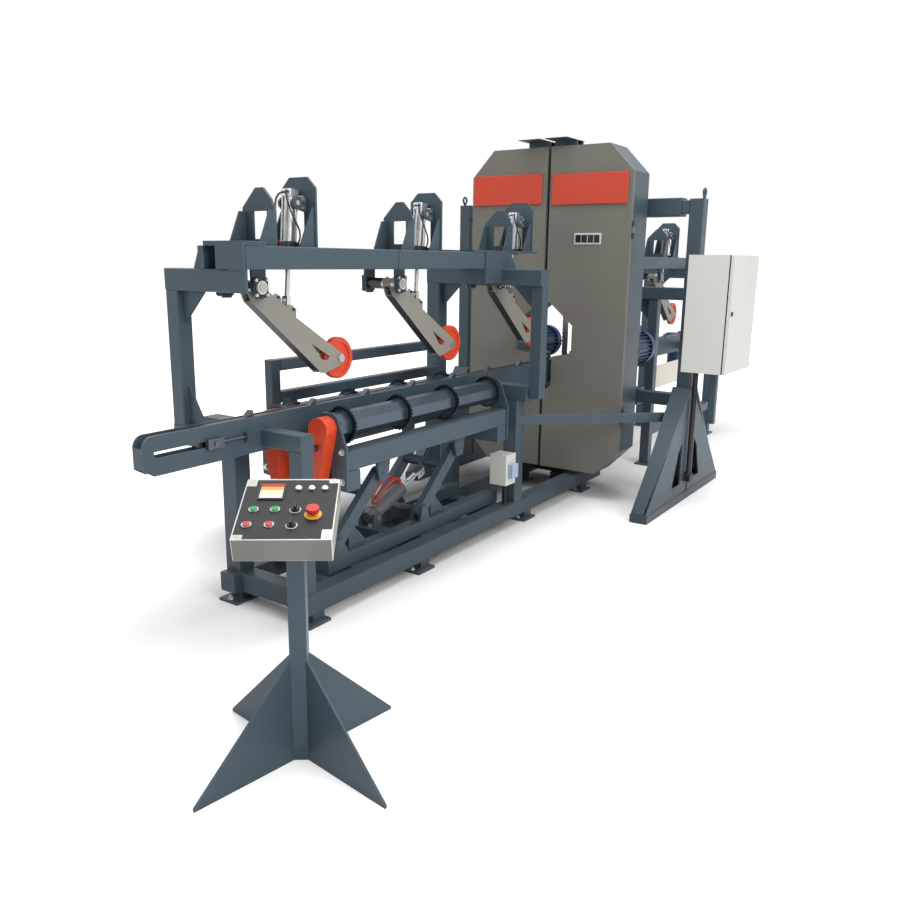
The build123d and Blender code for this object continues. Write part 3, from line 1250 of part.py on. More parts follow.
with BuildPart() as box_door_tray:
    with BuildSketch(xz(box_y[0] - 1)):
        with Locations(((box_x[0] + box_x[1]) / 2, (box_z[0] + box_z[1]) / 2)):
            RectangleRounded(box_x[1] - box_x[0], box_z[1] - box_z[0], 4)
    extrude(amount=box_door)
    with BuildSketch(xz(box_y[0] - 1)):
        with Locations(((box_x[0] + box_x[1]) / 2, (box_z[0] + box_z[1]) / 2)):
            Rectangle(box_x[1] - box_x[0] - 12, box_z[1] - box_z[0] - 12)
    extrude(amount=box_door - box_sheet, mode=Mode.SUBTRACT)
door_face = box_y[0] - 1 - box_door
lock = bar((box_x[0] + 34, door_face, 1390), (box_x[0] + 34, door_face - 9, 1390), 15)
door_knuckles = []
for z in (box_z[0] + 130, box_z[1] - 130):
    door_knuckles.append(bar((box_hinge[0], box_hinge[1], z - 14.5), (box_hinge[0], box_hinge[1], z + 25), 6))
    door_knuckles.append(block(box_x[1], box_hinge[0], box_hinge[1] - 14, box_hinge[1] - 6, z - 14.5, z + 25))
group("enclosure_door", box_door_tray.part, lock, *door_knuckles)

# Console on its pedestal, turned to the operator
turn = math.radians(console_turn)
tilt = math.radians(console_tilt)
ahead = Vector(math.cos(turn), math.sin(turn), 0)
right = Vector(math.sin(turn), -math.cos(turn), 0)
face_normal = Vector(-ahead.X * math.sin(tilt), -ahead.Y * math.sin(tilt), math.cos(tilt))
panel = Plane(origin=(console_x, console_y, console_z), x_dir=right, z_dir=face_normal)
under_panel = panel.offset(-console_depth)
pedestal_at = Vector(console_x, console_y, 0) + ahead * pedestal_back
with BuildPart() as pedestal:
    with BuildSketch(Plane(origin=pedestal_at, x_dir=right, z_dir=(0, 0, 1))):
        Rectangle(pedestal_tube, pedestal_tube)
        Rectangle(pedestal_tube - 8, pedestal_tube - 8, mode=Mode.SUBTRACT)
    extrude(amount=console_z + 100)
    for i in range(4):
        diagonal = Vector(1, 0, 0).rotate(Axis.Z, console_turn + 45 + 90 * i)
        side_dir = Vector(0, 0, 1).cross(diagonal)
        with BuildSketch(Plane(origin=pedestal_at + side_dir * (gusset_thick / 2), x_dir=diagonal,
                               z_dir=side_dir * -1)):
            with BuildLine():
                start = pedestal_tube * 0.5 * math.sqrt(2) - 5
                Polyline((start, 0), (gusset_reach, 0), (gusset_reach, 12), (start, gusset_height), close=True)
            make_face()
        extrude(amount=gusset_thick)
    with BuildSketch(under_panel):
        Rectangle(900, 900)
    extrude(amount=400, mode=Mode.SUBTRACT)
pedestal.part.label = "console_pedestal"
export_step(pedestal.part, "parts/console_pedestal.step")

round_holes = [(x, y, button_r + run_fit) for x, y in green_spots + red_spots]
round_holes += [(x, y, 6 + run_fit) for x, y in selector_spots]
round_holes.append((stop_spot[0], stop_spot[1], 9 + run_fit))
with BuildPart() as console_box:
    with BuildSketch(under_panel):
        RectangleRounded(console_width, console_length, 6)
    extrude(amount=console_depth)
    with BuildSketch(under_panel.offset(console_sheet)):
        Rectangle(console_width - 2 * console_sheet, console_length - 2 * console_sheet)
    extrude(amount=console_depth - 2 * console_sheet, mode=Mode.SUBTRACT)
    for x, y in green_spots + red_spots:
        with BuildSketch(panel):
            with Locations((x, y)):
                Circle(button_r + 4)
        extrude(amount=bezel)
    for x, y in lamp_spots:
        with BuildSketch(panel):
            with Locations((x, y)):
                Circle(button_r)
        extrude(amount=bezel + 3)
    with BuildSketch(panel):
        with Locations(stop_spot):
            Circle(27)
    extrude(amount=3)
    with BuildSketch(panel):
        with Locations((-61, 88)):
            Rectangle(80, 88)
    extrude(amount=4)
    for x, y, r in round_holes:
        with BuildSketch(panel.offset(-console_sheet)):
            with Locations((x, y)):
                Circle(r)
        extrude(amount=console_sheet + bezel, mode=Mode.SUBTRACT)
console_box.part.label = "console_box"
export_step(console_box.part, "parts/console_box.step")

for colour, spots in (("green", green_spots), ("red", red_spots)):
    for number, spot in enumerate(spots, 1):
        with BuildPart() as button:
            with BuildSketch(panel.offset(-10)):
                with Locations(spot):
                    Circle(button_r)
            extrude(amount=10 + button_proud)
        button.part.label = f"{colour}_button_{number}"
        export_step(button.part, f"parts/{colour}_button_{number}.step")

for number, spot in enumerate(selector_spots, 1):
    with BuildPart() as selector:
        with BuildSketch(panel.offset(-10)):
            with Locations(spot):
                Circle(6)
        extrude(amount=10 + loose_fit)
        with BuildSketch(panel.offset(loose_fit)):
            with Locations(spot):
                Circle(14)
        extrude(amount=8)
        with BuildSketch(panel.offset(loose_fit + 8)):
            with Locations(spot):
                SlotOverall(30, 9, rotation=90)
        extrude(amount=14)
    selector.part.label = f"selector_switch_{number}"
    export_step(selector.part, f"parts/selector_switch_{number}.step")

with BuildPart() as stop_button:
    with BuildSketch(panel.offset(-12)):
        with Locations(stop_spot):
            Circle(9)
    extrude(amount=30)
    with BuildSketch(panel.offset(16)):
        with Locations(stop_spot):
            Circle(20)
    extrude(amount=14)
stop_button.part.label = "emergency_stop"
export_step(stop_button.part, "parts/emergency_stop.step")
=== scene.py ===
"""Looks for a floor-standing twin vertical band resaw, laid out as a Blender add-on."""

import math

import bmesh
import bpy
from bpy.props import FloatProperty, FloatVectorProperty, IntProperty, PointerProperty
from mathutils import Matrix, Vector


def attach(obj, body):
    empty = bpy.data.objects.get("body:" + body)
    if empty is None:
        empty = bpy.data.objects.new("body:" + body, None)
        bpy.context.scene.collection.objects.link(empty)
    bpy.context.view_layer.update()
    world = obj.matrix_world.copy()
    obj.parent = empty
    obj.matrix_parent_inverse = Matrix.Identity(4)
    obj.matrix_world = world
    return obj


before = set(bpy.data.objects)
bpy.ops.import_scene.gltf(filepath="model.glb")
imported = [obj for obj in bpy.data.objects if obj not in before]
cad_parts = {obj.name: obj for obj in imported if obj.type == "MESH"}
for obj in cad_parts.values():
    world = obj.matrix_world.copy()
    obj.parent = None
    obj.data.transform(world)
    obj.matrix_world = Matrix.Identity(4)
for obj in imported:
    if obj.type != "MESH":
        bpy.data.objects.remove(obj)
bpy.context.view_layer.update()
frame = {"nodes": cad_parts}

bl_info = {
    "name": "Twin Vertical Resaw Finishes",
    "version": (1, 0, 0),
    "blender": (4, 5, 0),
    "location": "View3D > Sidebar > Resaw",
    "description": "Paint, steel, console face and small fittings for a twin vertical resaw",
    "category": "Object",
}


def srgb(red, green, blue):
    """Linear colour for an 8-bit screen colour."""
    return tuple(
        ((c / 255 + 0.055) / 1.055) ** 2.4 if c > 10 else c / 255 / 12.92 for c in (red, green, blue)
    )


def shaded(colour, times, plus=0.0):
    """Colour made lighter or darker, white at most."""
    return tuple(min(1.0, c * times + plus) for c in colour)


def colour_prop(label, words, value):
    """Colour property with its default."""
    return FloatVectorProperty(name=label, description=words, subtype="COLOR", size=3, min=0, max=1,
                               default=value)


def length_prop(label, words, value):
    """Length property in metres with its default."""
    return FloatProperty(name=label, description=words, subtype="DISTANCE", unit="LENGTH", min=0.0,
                         default=value)


class ResawColours(bpy.types.PropertyGroup):
    """Colours of the finishes."""

    frame: colour_prop("Frame", "Blue-grey paint of tubes and plates", srgb(65, 80, 90))
    cabinet: colour_prop("Cabinet", "Warm grey textured paint of the saw doors", srgb(114, 113, 105))
    arm: colour_prop("Arm", "Pale warm grey of the hold-down arms", srgb(142, 139, 131))
    orange: colour_prop("Orange", "Signal paint of guards and wheels", srgb(218, 72, 40))
    plate: colour_prop("Plate red", "Darker orange-red of the door plates", srgb(200, 70, 48))
    pale: colour_prop("Pale grey", "Powder coat of the electrical enclosure", srgb(212, 212, 206))
    blue: colour_prop("Motor blue", "Enamel of the motors", srgb(40, 60, 104))
    # Pale colour of the outfeed side panels, painted light
    lit_panel: colour_prop("Lit panel", "Side panels of the outfeed", srgb(222, 218, 204))
    steel: colour_prop("Steel", "Bare machined steel", srgb(170, 172, 174))
    dark_steel: colour_prop("Dark steel", "Oiled rolled steel", srgb(92, 96, 102))
    alloy: colour_prop("Alloy", "Anodised cylinder barrels", srgb(196, 198, 200))


class ResawSizes(bpy.types.PropertyGroup):
    """Sizes of the small fittings."""

    plate_thick: length_prop("Plate thickness", "How far a door plate stands proud", 0.016)
    plate_height: length_prop("Plate height", "Height of the bare plates on the doors", 0.208)
    link_pitch: length_prop("Chain pitch", "Distance between chain pins", 0.065)
    bolt_across: length_prop("Bolt head", "Width across the flats of the frame bolts", 0.024)
    lamp_radius: length_prop("Lamp radius", "Radius of the console lamp lenses", 0.0105)
    bolt_sides: IntProperty(name="Bolt sides", description="Sides of a bolt head", min=4, max=12,
                            default=6)


# Shader nodes


def feed(tree, value, target):
    """Links a socket to a target, or sets a plain value there."""
    if isinstance(value, bpy.types.NodeSocket):
        tree.links.new(value, target)
    else:
        target.default_value = value


def put(tree, kind, settings=(), **sockets):
    """Adds a node, sets its settings, and links or sets its named sockets."""
    node = tree.nodes.new(kind)
    for key, value in dict(settings).items():
        setattr(node, key, value)
    for key, value in sockets.items():
        feed(tree, value, node.inputs[key.replace("_", " ")])
    return node


def calc(tree, operation, *values, clamp=False):
    """Math node output."""
    node = put(tree, "ShaderNodeMath", {"operation": operation, "use_clamp": clamp})
    for value, target in zip(values, node.inputs):
        feed(tree, value, target)
    return node.outputs[0]


def fold(tree, operation, values):
    """Chain of math nodes over several values."""
    result, *others = values
    for value in others:
        result = calc(tree, operation, result, value)
    return result


def squares(tree, first, second):
    """Sum of the squares of two values."""
    return calc(tree, "ADD", calc(tree, "POWER", first, 2.0), calc(tree, "POWER", second, 2.0))


def off_centre(tree, value, centre):
    """How far a value is from a centre."""
    return calc(tree, "ABSOLUTE", calc(tree, "SUBTRACT", value, centre))


def vector_calc(tree, operation, first, second):
    """Vector math node output."""
    node = put(tree, "ShaderNodeVectorMath", {"operation": operation})
    feed(tree, first, node.inputs[0])
    feed(tree, second, node.inputs["Scale" if operation == "SCALE" else 1])
    return node.outputs["Value" if operation == "DOT_PRODUCT" else "Vector"]


def blend(tree, factor, first, second):
    """Colour between two colours."""
    node = put(tree, "ShaderNodeMix", {"data_type": "RGBA"})
    feed(tree, factor, node.inputs[0])
    for value, target in ((first, node.inputs[6]), (second, node.inputs[7])):
        linked = isinstance(value, bpy.types.NodeSocket)
        feed(tree, value if linked else (*value[:3], 1.0), target)
    return node.outputs[2]


def spread(tree, value, low, high, to_low=0.0, to_high=1.0):
    """Value remapped from one range to another, clamped."""
    node = put(tree, "ShaderNodeMapRange", {"clamp": True}, Value=value, From_Min=low, From_Max=high,
               To_Min=to_low, To_Max=to_high)
    return node.outputs["Result"]


def place(tree):
    """Object coordinates."""
    return put(tree, "ShaderNodeTexCoord").outputs["Object"]


def normal(tree):
    """Surface normal."""
    return put(tree, "ShaderNodeNewGeometry").outputs["Normal"]


def noise(tree, vector, scale, detail, rough):
    """Noise factor."""
    node = put(tree, "ShaderNodeTexNoise", Vector=vector, Scale=scale, Detail=detail, Roughness=rough)
    return node.outputs["Fac"]


def sway(tree, value):
    """Noise moved to lie about nothing."""
    return calc(tree, "SUBTRACT", value, 0.5)


def bare_tree(holder):
    """Emptied node tree of a material or world."""
    holder.use_nodes = True
    holder.node_tree.nodes.clear()
    return holder.node_tree


def patch_reach(tree, where, middle, half):
    """Distance on the floor from a rectangle, nothing inside it."""
    past = []
    for axis, centre, reach in zip("XY", middle, half):
        beyond = calc(tree, "SUBTRACT", off_centre(tree, where.outputs[axis], centre), reach)
        past.append(calc(tree, "MAXIMUM", beyond, 0.0))
    return calc(tree, "SQRT", squares(tree, *past))


def seen_rays(tree):
    """1 for rays that show a surface directly, in a mirror or through glass."""
    rays = put(tree, "ShaderNodeLightPath")
    kinds = ("Is Camera Ray", "Is Glossy Ray", "Is Transmission Ray")
    return fold(tree, "MAXIMUM", [rays.outputs[kind] for kind in kinds])


def start_group(name, inputs, outputs):
    """New shader node group with named sockets."""
    tree = bpy.data.node_groups.new(name, "ShaderNodeTree")
    for label, kind, value in inputs:
        socket = tree.interface.new_socket(name=label, in_out="INPUT", socket_type=kind)
        socket.default_value = value
    for label, kind in outputs:
        tree.interface.new_socket(name=label, in_out="OUTPUT", socket_type=kind)
    return tree, tree.nodes.new("NodeGroupInput"), tree.nodes.new("NodeGroupOutput")


FLOAT = "NodeSocketFloat"
COLOUR = "NodeSocketColor"
VECTOR = "NodeSocketVector"
SKIN_SHINIEST = 0.08


def skin_group():
    """Paint or metal skin: clouded colour, uneven gloss and a fine grain."""
    tree, source, sink = start_group(
        "Surface Skin",
        (("Colour", COLOUR, (0.5, 0.5, 0.5, 1)), ("Cloud", FLOAT, 0.2), ("Cloud Scale", FLOAT, 3.0),
         ("Roughness", FLOAT, 0.45), ("Gloss Spread", FLOAT, 0.15), ("Grain Scale", FLOAT, 900.0)),
        (("Colour", COLOUR), ("Roughness", FLOAT), ("Height", FLOAT)),
    )
    given = source.outputs
    where = place(tree)
    cloud = noise(tree, where, given["Cloud Scale"], detail=5.0, rough=0.6)
    lift = calc(tree, "MULTIPLY_ADD", sway(tree, cloud), given["Cloud"], 1.0)
    smear = noise(tree, where, 11.0, detail=4.0, rough=0.65)
    rough = calc(tree, "MULTIPLY_ADD", sway(tree, smear), given["Gloss Spread"], given["Roughness"])
    grain = noise(tree, where, given["Grain Scale"], detail=2.0, rough=0.5)
    feed(tree, vector_calc(tree, "SCALE", given["Colour"], lift), sink.inputs["Colour"])
    feed(tree, calc(tree, "MAXIMUM", rough, SKIN_SHINIEST), sink.inputs["Roughness"])
    feed(tree, grain, sink.inputs["Height"])
    return tree


def rub_highlight_group():
    """Mask of rubbed edges, broken up by noise; these edges are painted lighter, partly as wear and
    partly as painted highlight.
    """
    tree, source, sink = start_group(
        "Edge Rub And Highlight",
        (("Radius", FLOAT, 0.004), ("Break Scale", FLOAT, 24.0), ("Amount", FLOAT, 0.5)),
        (("Mask", FLOAT),),
    )
    rounded = put(tree, "ShaderNodeBevel", {"samples": 4}, Radius=source.outputs["Radius"])
    turn = vector_calc(tree, "DOT_PRODUCT", rounded.outputs["Normal"], normal(tree))
    edge = spread(tree, turn, 0.995, 0.88)
    broken = noise(tree, place(tree), source.outputs["Break Scale"], detail=4.0, rough=0.6)
    rubbed_and_lit = calc(tree, "MULTIPLY", edge, spread(tree, broken, 0.36, 0.62))
    mask = calc(tree, "MULTIPLY", rubbed_and_lit, source.outputs["Amount"], clamp=True)
    feed(tree, mask, sink.inputs["Mask"])
    return tree


def dust_group():
    """Mask of fine dust on faces that look up."""
    tree, source, sink = start_group(
        "Settled Dust", (("Amount", FLOAT, 0.15), ("Scale", FLOAT, 7.0)), (("Mask", FLOAT),)
    )
    turned = put(tree, "ShaderNodeSeparateXYZ", Vector=normal(tree))
    facing = spread(tree, turned.outputs["Z"], 0.55, 0.98)
    patchy = noise(tree, place(tree), source.outputs["Scale"], detail=6.0, rough=0.7)
    settled = calc(tree, "MULTIPLY", facing, spread(tree, patchy, 0.35, 0.75))
    mask = calc(tree, "MULTIPLY", settled, source.outputs["Amount"], clamp=True)
    feed(tree, mask, sink.inputs["Mask"])
    return tree


def brush_group():
    """Fine parallel lines left by brushing or rolling along one axis."""
    tree, source, sink = start_group(
        "Brushed Lines", (("Stretch", VECTOR, (4.0, 400.0, 400.0)),), (("Lines", FLOAT),)
    )
    drawn_out = vector_calc(tree, "MULTIPLY", place(tree), source.outputs["Stretch"])
    feed(tree, noise(tree, drawn_out, 1.0, detail=3.0, rough=0.6), sink.inputs["Lines"])
    return tree


GROUP_MAKERS = {"skin": skin_group, "rub_highlight": rub_highlight_group, "dust": dust_group, "brush": brush_group}
GROUPS = {}


def use(tree, name, **sockets):
    """Places a shared group, built once, in a material."""
    if name not in GROUPS:
        GROUPS[name] = GROUP_MAKERS[name]()
    return put(tree, "ShaderNodeGroup", {"node_tree": GROUPS[name]}, **sockets)


class Finish:
    """A material under way: its tree, Principled shader and mask helpers."""

    def __init__(self, name):
        self.material = bpy.data.materials.new(name)
        self.tree = bare_tree(self.material)
        self.shader = put(self.tree, "ShaderNodeBsdfPrincipled")
        put(self.tree, "ShaderNodeOutputMaterial", Surface=self.shader.outputs["BSDF"])
        self.axes = None

    def axis(self, letter):
        """One object coordinate."""
        if self.axes is None:
            self.axes = put(self.tree, "ShaderNodeSeparateXYZ", Vector=place(self.tree))
        return self.axes.outputs[letter]

    def below(self, letter, limit):
        """1 where an object coordinate is under a limit."""
        return calc(self.tree, "LESS_THAN", self.axis(letter), limit)

    def between(self, value, low, high):
        """1 where value lies between two limits."""
        over = calc(self.tree, "GREATER_THAN", value, low)
        return calc(self.tree, "MULTIPLY", over, calc(self.tree, "LESS_THAN", value, high))

    def both(self, *masks):
        """1 where all masks are 1."""
        return fold(self.tree, "MULTIPLY", masks)

    def any(self, *masks):
        """1 where any mask is 1."""
        return fold(self.tree, "MAXIMUM", masks)

    def close(self, colour, rough, height, bump, reach, bare=None):
        """Links what varies over the surface to the shader."""
        relief = put(self.tree, "ShaderNodeBump", Strength=bump, Distance=reach, Height=height)
        feed(self.tree, colour, self.shader.inputs["Base Color"])
        feed(self.tree, rough, self.shader.inputs["Roughness"])
        feed(self.tree, relief.outputs["Normal"], self.shader.inputs["Normal"])
        if bare is not None:
            feed(self.tree, bare, self.shader.inputs["Metallic"])
        return self.material


PAINT_SPECULAR = 0.3
BARE_METAL = 0.9
METAL_SHINIEST = 0.1
SAW_DUST = srgb(190, 182, 166)


def paint(name, colour, rough=0.42, cloud=0.22, cloud_scale=2.5, grain=700.0, bump=0.12, rub_highlight=0.45,
          rub_highlight_colour=None, dust=0.08, patches=None):
    """Sprayed paint with clouding, orange peel, lighter rubbed edges that are partly wear and partly
    painted highlight, and a trace of dust.

    Patches recolour parts of a node, and may say how far they are bare metal.
    """
    finish = Finish(name)
    tree = finish.tree
    finish.shader.inputs["Specular IOR Level"].default_value = PAINT_SPECULAR
    base, bare = (*colour, 1.0), None
    if patches:
        base, bare = patches(finish, base)
    skin = use(tree, "skin", Colour=base, Cloud=cloud, Cloud_Scale=cloud_scale, Roughness=rough,
               Gloss_Spread=0.2, Grain_Scale=grain)
    # Lighter edges: partly wear, partly painted highlight.
    rubbed_and_lit = use(tree, "rub_highlight", Radius=0.005, Break_Scale=20.0, Amount=rub_highlight).outputs["Mask"]
    shown = blend(tree, rubbed_and_lit, skin.outputs["Colour"], rub_highlight_colour or shaded(colour, 1.8, 0.07))
    dusty = use(tree, "dust", Amount=dust, Scale=6.0).outputs["Mask"]
    shown = blend(tree, dusty, shown, SAW_DUST)
    dull = calc(tree, "ADD", skin.outputs["Roughness"], calc(tree, "MULTIPLY", dusty, 0.4), clamp=True)
    return finish.close(shown, dull, skin.outputs["Height"], bump, reach=0.0006, bare=bare)


def metal(name, colour, rough=0.32, stretch=(6.0, 300.0, 300.0), cloud=0.3, stain=0.25, patches=None):
    """Bare metal with brushed lines, stains and brighter edges that are partly wear and partly painted
    highlight.
    """
    finish = Finish(name)
    tree = finish.tree
    finish.shader.inputs["Metallic"].default_value = BARE_METAL
    base, bare = (*colour, 1.0), None
    if patches:
        base, bare = patches(finish, base)
    skin = use(tree, "skin", Colour=base, Cloud=cloud, Cloud_Scale=6.0, Roughness=rough,
               Gloss_Spread=0.3, Grain_Scale=420.0)
    lines = use(tree, "brush", Stretch=stretch).outputs["Lines"]
    stains = noise(tree, place(tree), 4.0, detail=6.0, rough=0.7)
    soiled = spread(tree, stains, 0.5, 0.8, 0.0, stain)
    shown = blend(tree, soiled, skin.outputs["Colour"], shaded(colour, 0.3))
    # Brighter edges: partly wear, partly painted highlight.
    rubbed_and_lit = use(tree, "rub_highlight", Radius=0.003, Break_Scale=40.0, Amount=0.5).outputs["Mask"]
    shown = blend(tree, rubbed_and_lit, shown, shaded(colour, 1.35, 0.05))
    dull = calc(tree, "MULTIPLY_ADD", sway(tree, lines), 0.3, skin.outputs["Roughness"])
    dull = calc(tree, "MAXIMUM", dull, METAL_SHINIEST)
    return finish.close(shown, dull, lines, bump=0.1, reach=0.0004, bare=bare)


def plastic(name, colour, rough, bump=0.08, coat=0.0):
    """Moulded plastic with a fine grain and slight scuffs, its lighter edges partly scuffs and partly
    painted highlight.
    """
    finish = Finish(name)
    tree = finish.tree
    finish.shader.inputs["Coat Weight"].default_value = coat
    skin = use(tree, "skin", Colour=(*colour, 1.0), Cloud=0.15, Cloud_Scale=30.0, Roughness=rough,
               Gloss_Spread=0.15, Grain_Scale=2600.0)
    # Lighter edges: partly scuffs, partly painted highlight.
    rubbed_and_lit = use(tree, "rub_highlight", Radius=0.0012, Break_Scale=160.0, Amount=0.35).outputs["Mask"]
    shown = blend(tree, rubbed_and_lit, skin.outputs["Colour"], shaded(colour, 1.4, 0.08))
    return finish.close(shown, skin.outputs["Roughness"], skin.outputs["Height"], bump, reach=0.0003)


def glow(name, colour, strength):
    """Lit lens with a soft mottled core."""
    finish = Finish(name)
    finish.shader.inputs["Emission Strength"].default_value = strength
    skin = use(finish.tree, "skin", Colour=(*colour, 1.0), Cloud=0.2, Cloud_Scale=60.0, Roughness=0.25,
               Gloss_Spread=0.1, Grain_Scale=1500.0).outputs
    feed(finish.tree, skin["Colour"], finish.shader.inputs["Emission Color"])
    return finish.close(skin["Colour"], skin["Roughness"], skin["Height"], bump=0.05, reach=0.0003)


# Mesh helpers

UP = Vector((0, 0, 1))


def swing(start, end):
    """Turn that takes one direction to another."""
    return start.rotation_difference(end).to_matrix().to_4x4()


def edges_of(verts):
    """Edges that meet in some vertices, each once."""
    return list(dict.fromkeys(edge for vert in verts for edge in vert.link_edges))


def pull(mesh, edges):
    """Extrudes edges where they are, and gives the new vertices and edges."""
    made = bmesh.ops.extrude_edge_only(mesh, edges=edges)["geom"]
    verts = [g for g in made if isinstance(g, bmesh.types.BMVert)]
    return verts, [g for g in made if isinstance(g, bmesh.types.BMEdge)]


def slab(mesh, low, high, edge=0.0, segments=2):
    """Box between two corners with rounded edges."""
    made = bmesh.ops.create_cube(mesh, size=1.0)["verts"]
    bmesh.ops.scale(mesh, vec=[b - a for a, b in zip(low, high)], verts=made)
    bmesh.ops.translate(mesh, vec=[(a + b) / 2 for a, b in zip(low, high)], verts=made)
    if edge > 0:
        bmesh.ops.bevel(mesh, geom=edges_of(made), offset=edge, offset_type="OFFSET", affect="EDGES",
                        segments=segments, profile=0.5, material=-1)


def drum(mesh, centre, axis, radius, depth, sides=24, top=None):
    """Round or many-sided bar standing on centre along axis."""
    axis = Vector(axis)
    matrix = Matrix.Translation(Vector(centre) + axis.normalized() * (depth / 2)) @ swing(UP, axis)
    bmesh.ops.create_cone(mesh, cap_ends=True, cap_tris=False, segments=sides, radius1=radius,
                          radius2=radius if top is None else top, depth=depth, matrix=matrix)


def rope(mesh, points, radius, sides=8, steps=5):
    """Round hose on a smooth line through points."""
    knots = [Vector(p) for p in points]
    knots = [2 * knots[0] - knots[1], *knots, 2 * knots[-1] - knots[-2]]
    line = []
    for a, b, c, d in zip(knots, knots[1:], knots[2:], knots[3:]):
        for i in range(steps):
            t = i / steps
            line.append(0.5 * (2 * b + (c - a) * t + (2 * a - 5 * b + 4 * c - d) * t ** 2
                               + (3 * b - a - 3 * c + d) * t ** 3))
    line.append(knots[-2])
    ahead = line[1] - line[0]
    start = Matrix.Translation(line[0]) @ swing(UP, ahead)
    ring = bmesh.ops.create_circle(mesh, cap_ends=True, segments=sides, radius=radius, matrix=start)
    edges = edges_of(ring["verts"])
    for i in range(1, len(line)):
        after = line[min(i + 1, len(line) - 1)] - line[i - 1]
        step = Matrix.Translation(line[i]) @ swing(ahead, after) @ Matrix.Translation(-line[i - 1])
        moved, edges = pull(mesh, edges)
        bmesh.ops.transform(mesh, matrix=step, verts=moved)
        ahead = after
    bmesh.ops.contextual_create(mesh, geom=edges)


def show(name, data):
    """New object in the scene."""
    item = bpy.data.objects.new(name, data)
    bpy.context.scene.collection.objects.link(item)
    return item


def mesh_object(name, mesh, material):
    """Object of a bmesh, with its material."""
    data = bpy.data.meshes.new(name)
    mesh.to_mesh(data)
    mesh.free()
    data.materials.append(material)
    return show(name, data)


def finish_piece(name, mesh, material, body, matrix=None):
    """Turns a bmesh into a piece that rides on a body."""
    if matrix is not None:
        bmesh.ops.transform(mesh, matrix=matrix, verts=mesh.verts)
    bmesh.ops.recalc_face_normals(mesh, faces=mesh.faces)
    piece = mesh_object(name, mesh, material)
    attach(piece, body)


def dress(nodes, material):
    """Gives CAD nodes a material."""
    for name in nodes:
        node = frame["nodes"][name]
        if not node.material_slots:
            node.data.materials.append(material)
        for holder in node.material_slots:
            holder.material = material


def colours():
    """Colour properties of the scene."""
    return bpy.context.scene.resaw_colours


def sizes():
    """Size properties of the scene."""
    return bpy.context.scene.resaw_sizes


# Places and sizes, in metres, and the shades of single features

# Pivot bearings: where they stand proud, their covers, housing, corner bolts and middle
PIVOTS = (-3.272, -2.246, -1.178, 1.726)
PIVOT_Z = 1.586
BEARING_NEAR = (-0.0945, -0.0721)
BEARING_FAR = (0.1501, 0.1725)
BEARING_COVERS = (-0.0842, 0.1622)
BEARING_HALF = (0.0445, 0.0455)
BEARING_BOLT = (0.032, 0.033)
BEARING_BOLT_R = 0.0095
BEARING_RING_R = 0.0305
BEARING_DARK = srgb(36, 42, 48)
BEARING_BRIGHT = srgb(206, 206, 200)
BEARING_METAL = 0.5

# Frames: outfeed side panels, darkening near the floor, rubbed bed rails and their screws
SIDE_PANEL_X = (0.9305, 2.5095)
SIDE_PANEL_Y = (0.3465, 0.3535)
SIDE_PANEL_Z = (0.6495, 0.8505)
LOW_DARK_FADE = (0.12, 0.55)
LOW_DARK_SCALE = 0.72
RAIL_TOP = (0.9985, 1.01)
RAIL_METAL = 0.8
BED_SCREW_OUT = 0.0332

# Welded plates on the near hold-down beam
BEAM_NEAR = -0.150
BEAM_RISE = (1.667, 1.763)
BEAM_PLATES = ((-3.414, -3.235), (-2.356, -2.211))
BEAM_PLATE_THICK = 0.006
WELD_R = 0.004
WELD_OUT = 0.001

# Saws: belt guard, door front, orange plates with their sides and top, counter window
BELT_GUARD_BACK = 0.1185
BELT_GUARD_SHADE = 0.55
DOOR_FRONT = -0.425
DOOR_SKIN = 0.0005
DOOR_PLATES = (("near_saw_door", -0.602, -0.036, 2.312), ("far_saw_door", 0.050, 0.618, 2.322))
COUNTER_LOW = (-0.424, 1.834)
COUNTER_HIGH = (-0.220, 1.911)
COUNTER_RIM = 0.006
COUNTER_EDGE = (0.008, 0.012)
COUNTER_CELLS = 4
CELL_GAP = 0.003
CELL_FRONT = 0.0085
CELL_BACK = 0.0055

# Hold-downs: arm, nuts and bolts with their radius and height, cylinder and its second air hose
ARM_DOWN = math.radians(32.3)
ARM_LENGTH = 0.688
ARM_HALF = 0.027
ARM_PIN_OUT = ARM_HALF + 0.0003
ARM_SHAFT_OUT = ARM_HALF + 0.012
ARM_SHAFT = srgb(66, 68, 70)
# Painted shade: colour of the arms' downward faces
ARM_UNDER_SHADOW = srgb(46, 48, 50)
LOOKS_DOWN = -0.5
AXLE_NUT = (0.021, 0.008)
EAR_BOLTS = (0.158, 0.272)
EAR_BOLT_RISE = 0.044
EAR_BOLT = (0.0075, 0.006)
TRUNNION_AHEAD = 0.276
TRUNNION_Z = 1.965
CYLINDER_LEAN = 0.0861
BARREL_METAL = 0.85
TUBE_BEHIND = -0.0306
TUBE_BLACK = srgb(24, 24, 26)
TUBE_RED = srgb(112, 46, 36)
TUBE_RED_TOP = 0.01
LOW_CAP_TOP = -0.172
LOW_CAP_DARK = srgb(58, 64, 70)
AIR_HOSE = ((-0.029, -0.018, 0.046), (-0.054, -0.028, 0.046), (-0.052, -0.044, -0.012),
            (-0.018, -0.053, -0.078), (0.022, -0.049, -0.126), (0.032, -0.038, -0.170),
            (0.018, -0.028, -0.184))
AIR_HOSE_R = 0.0042

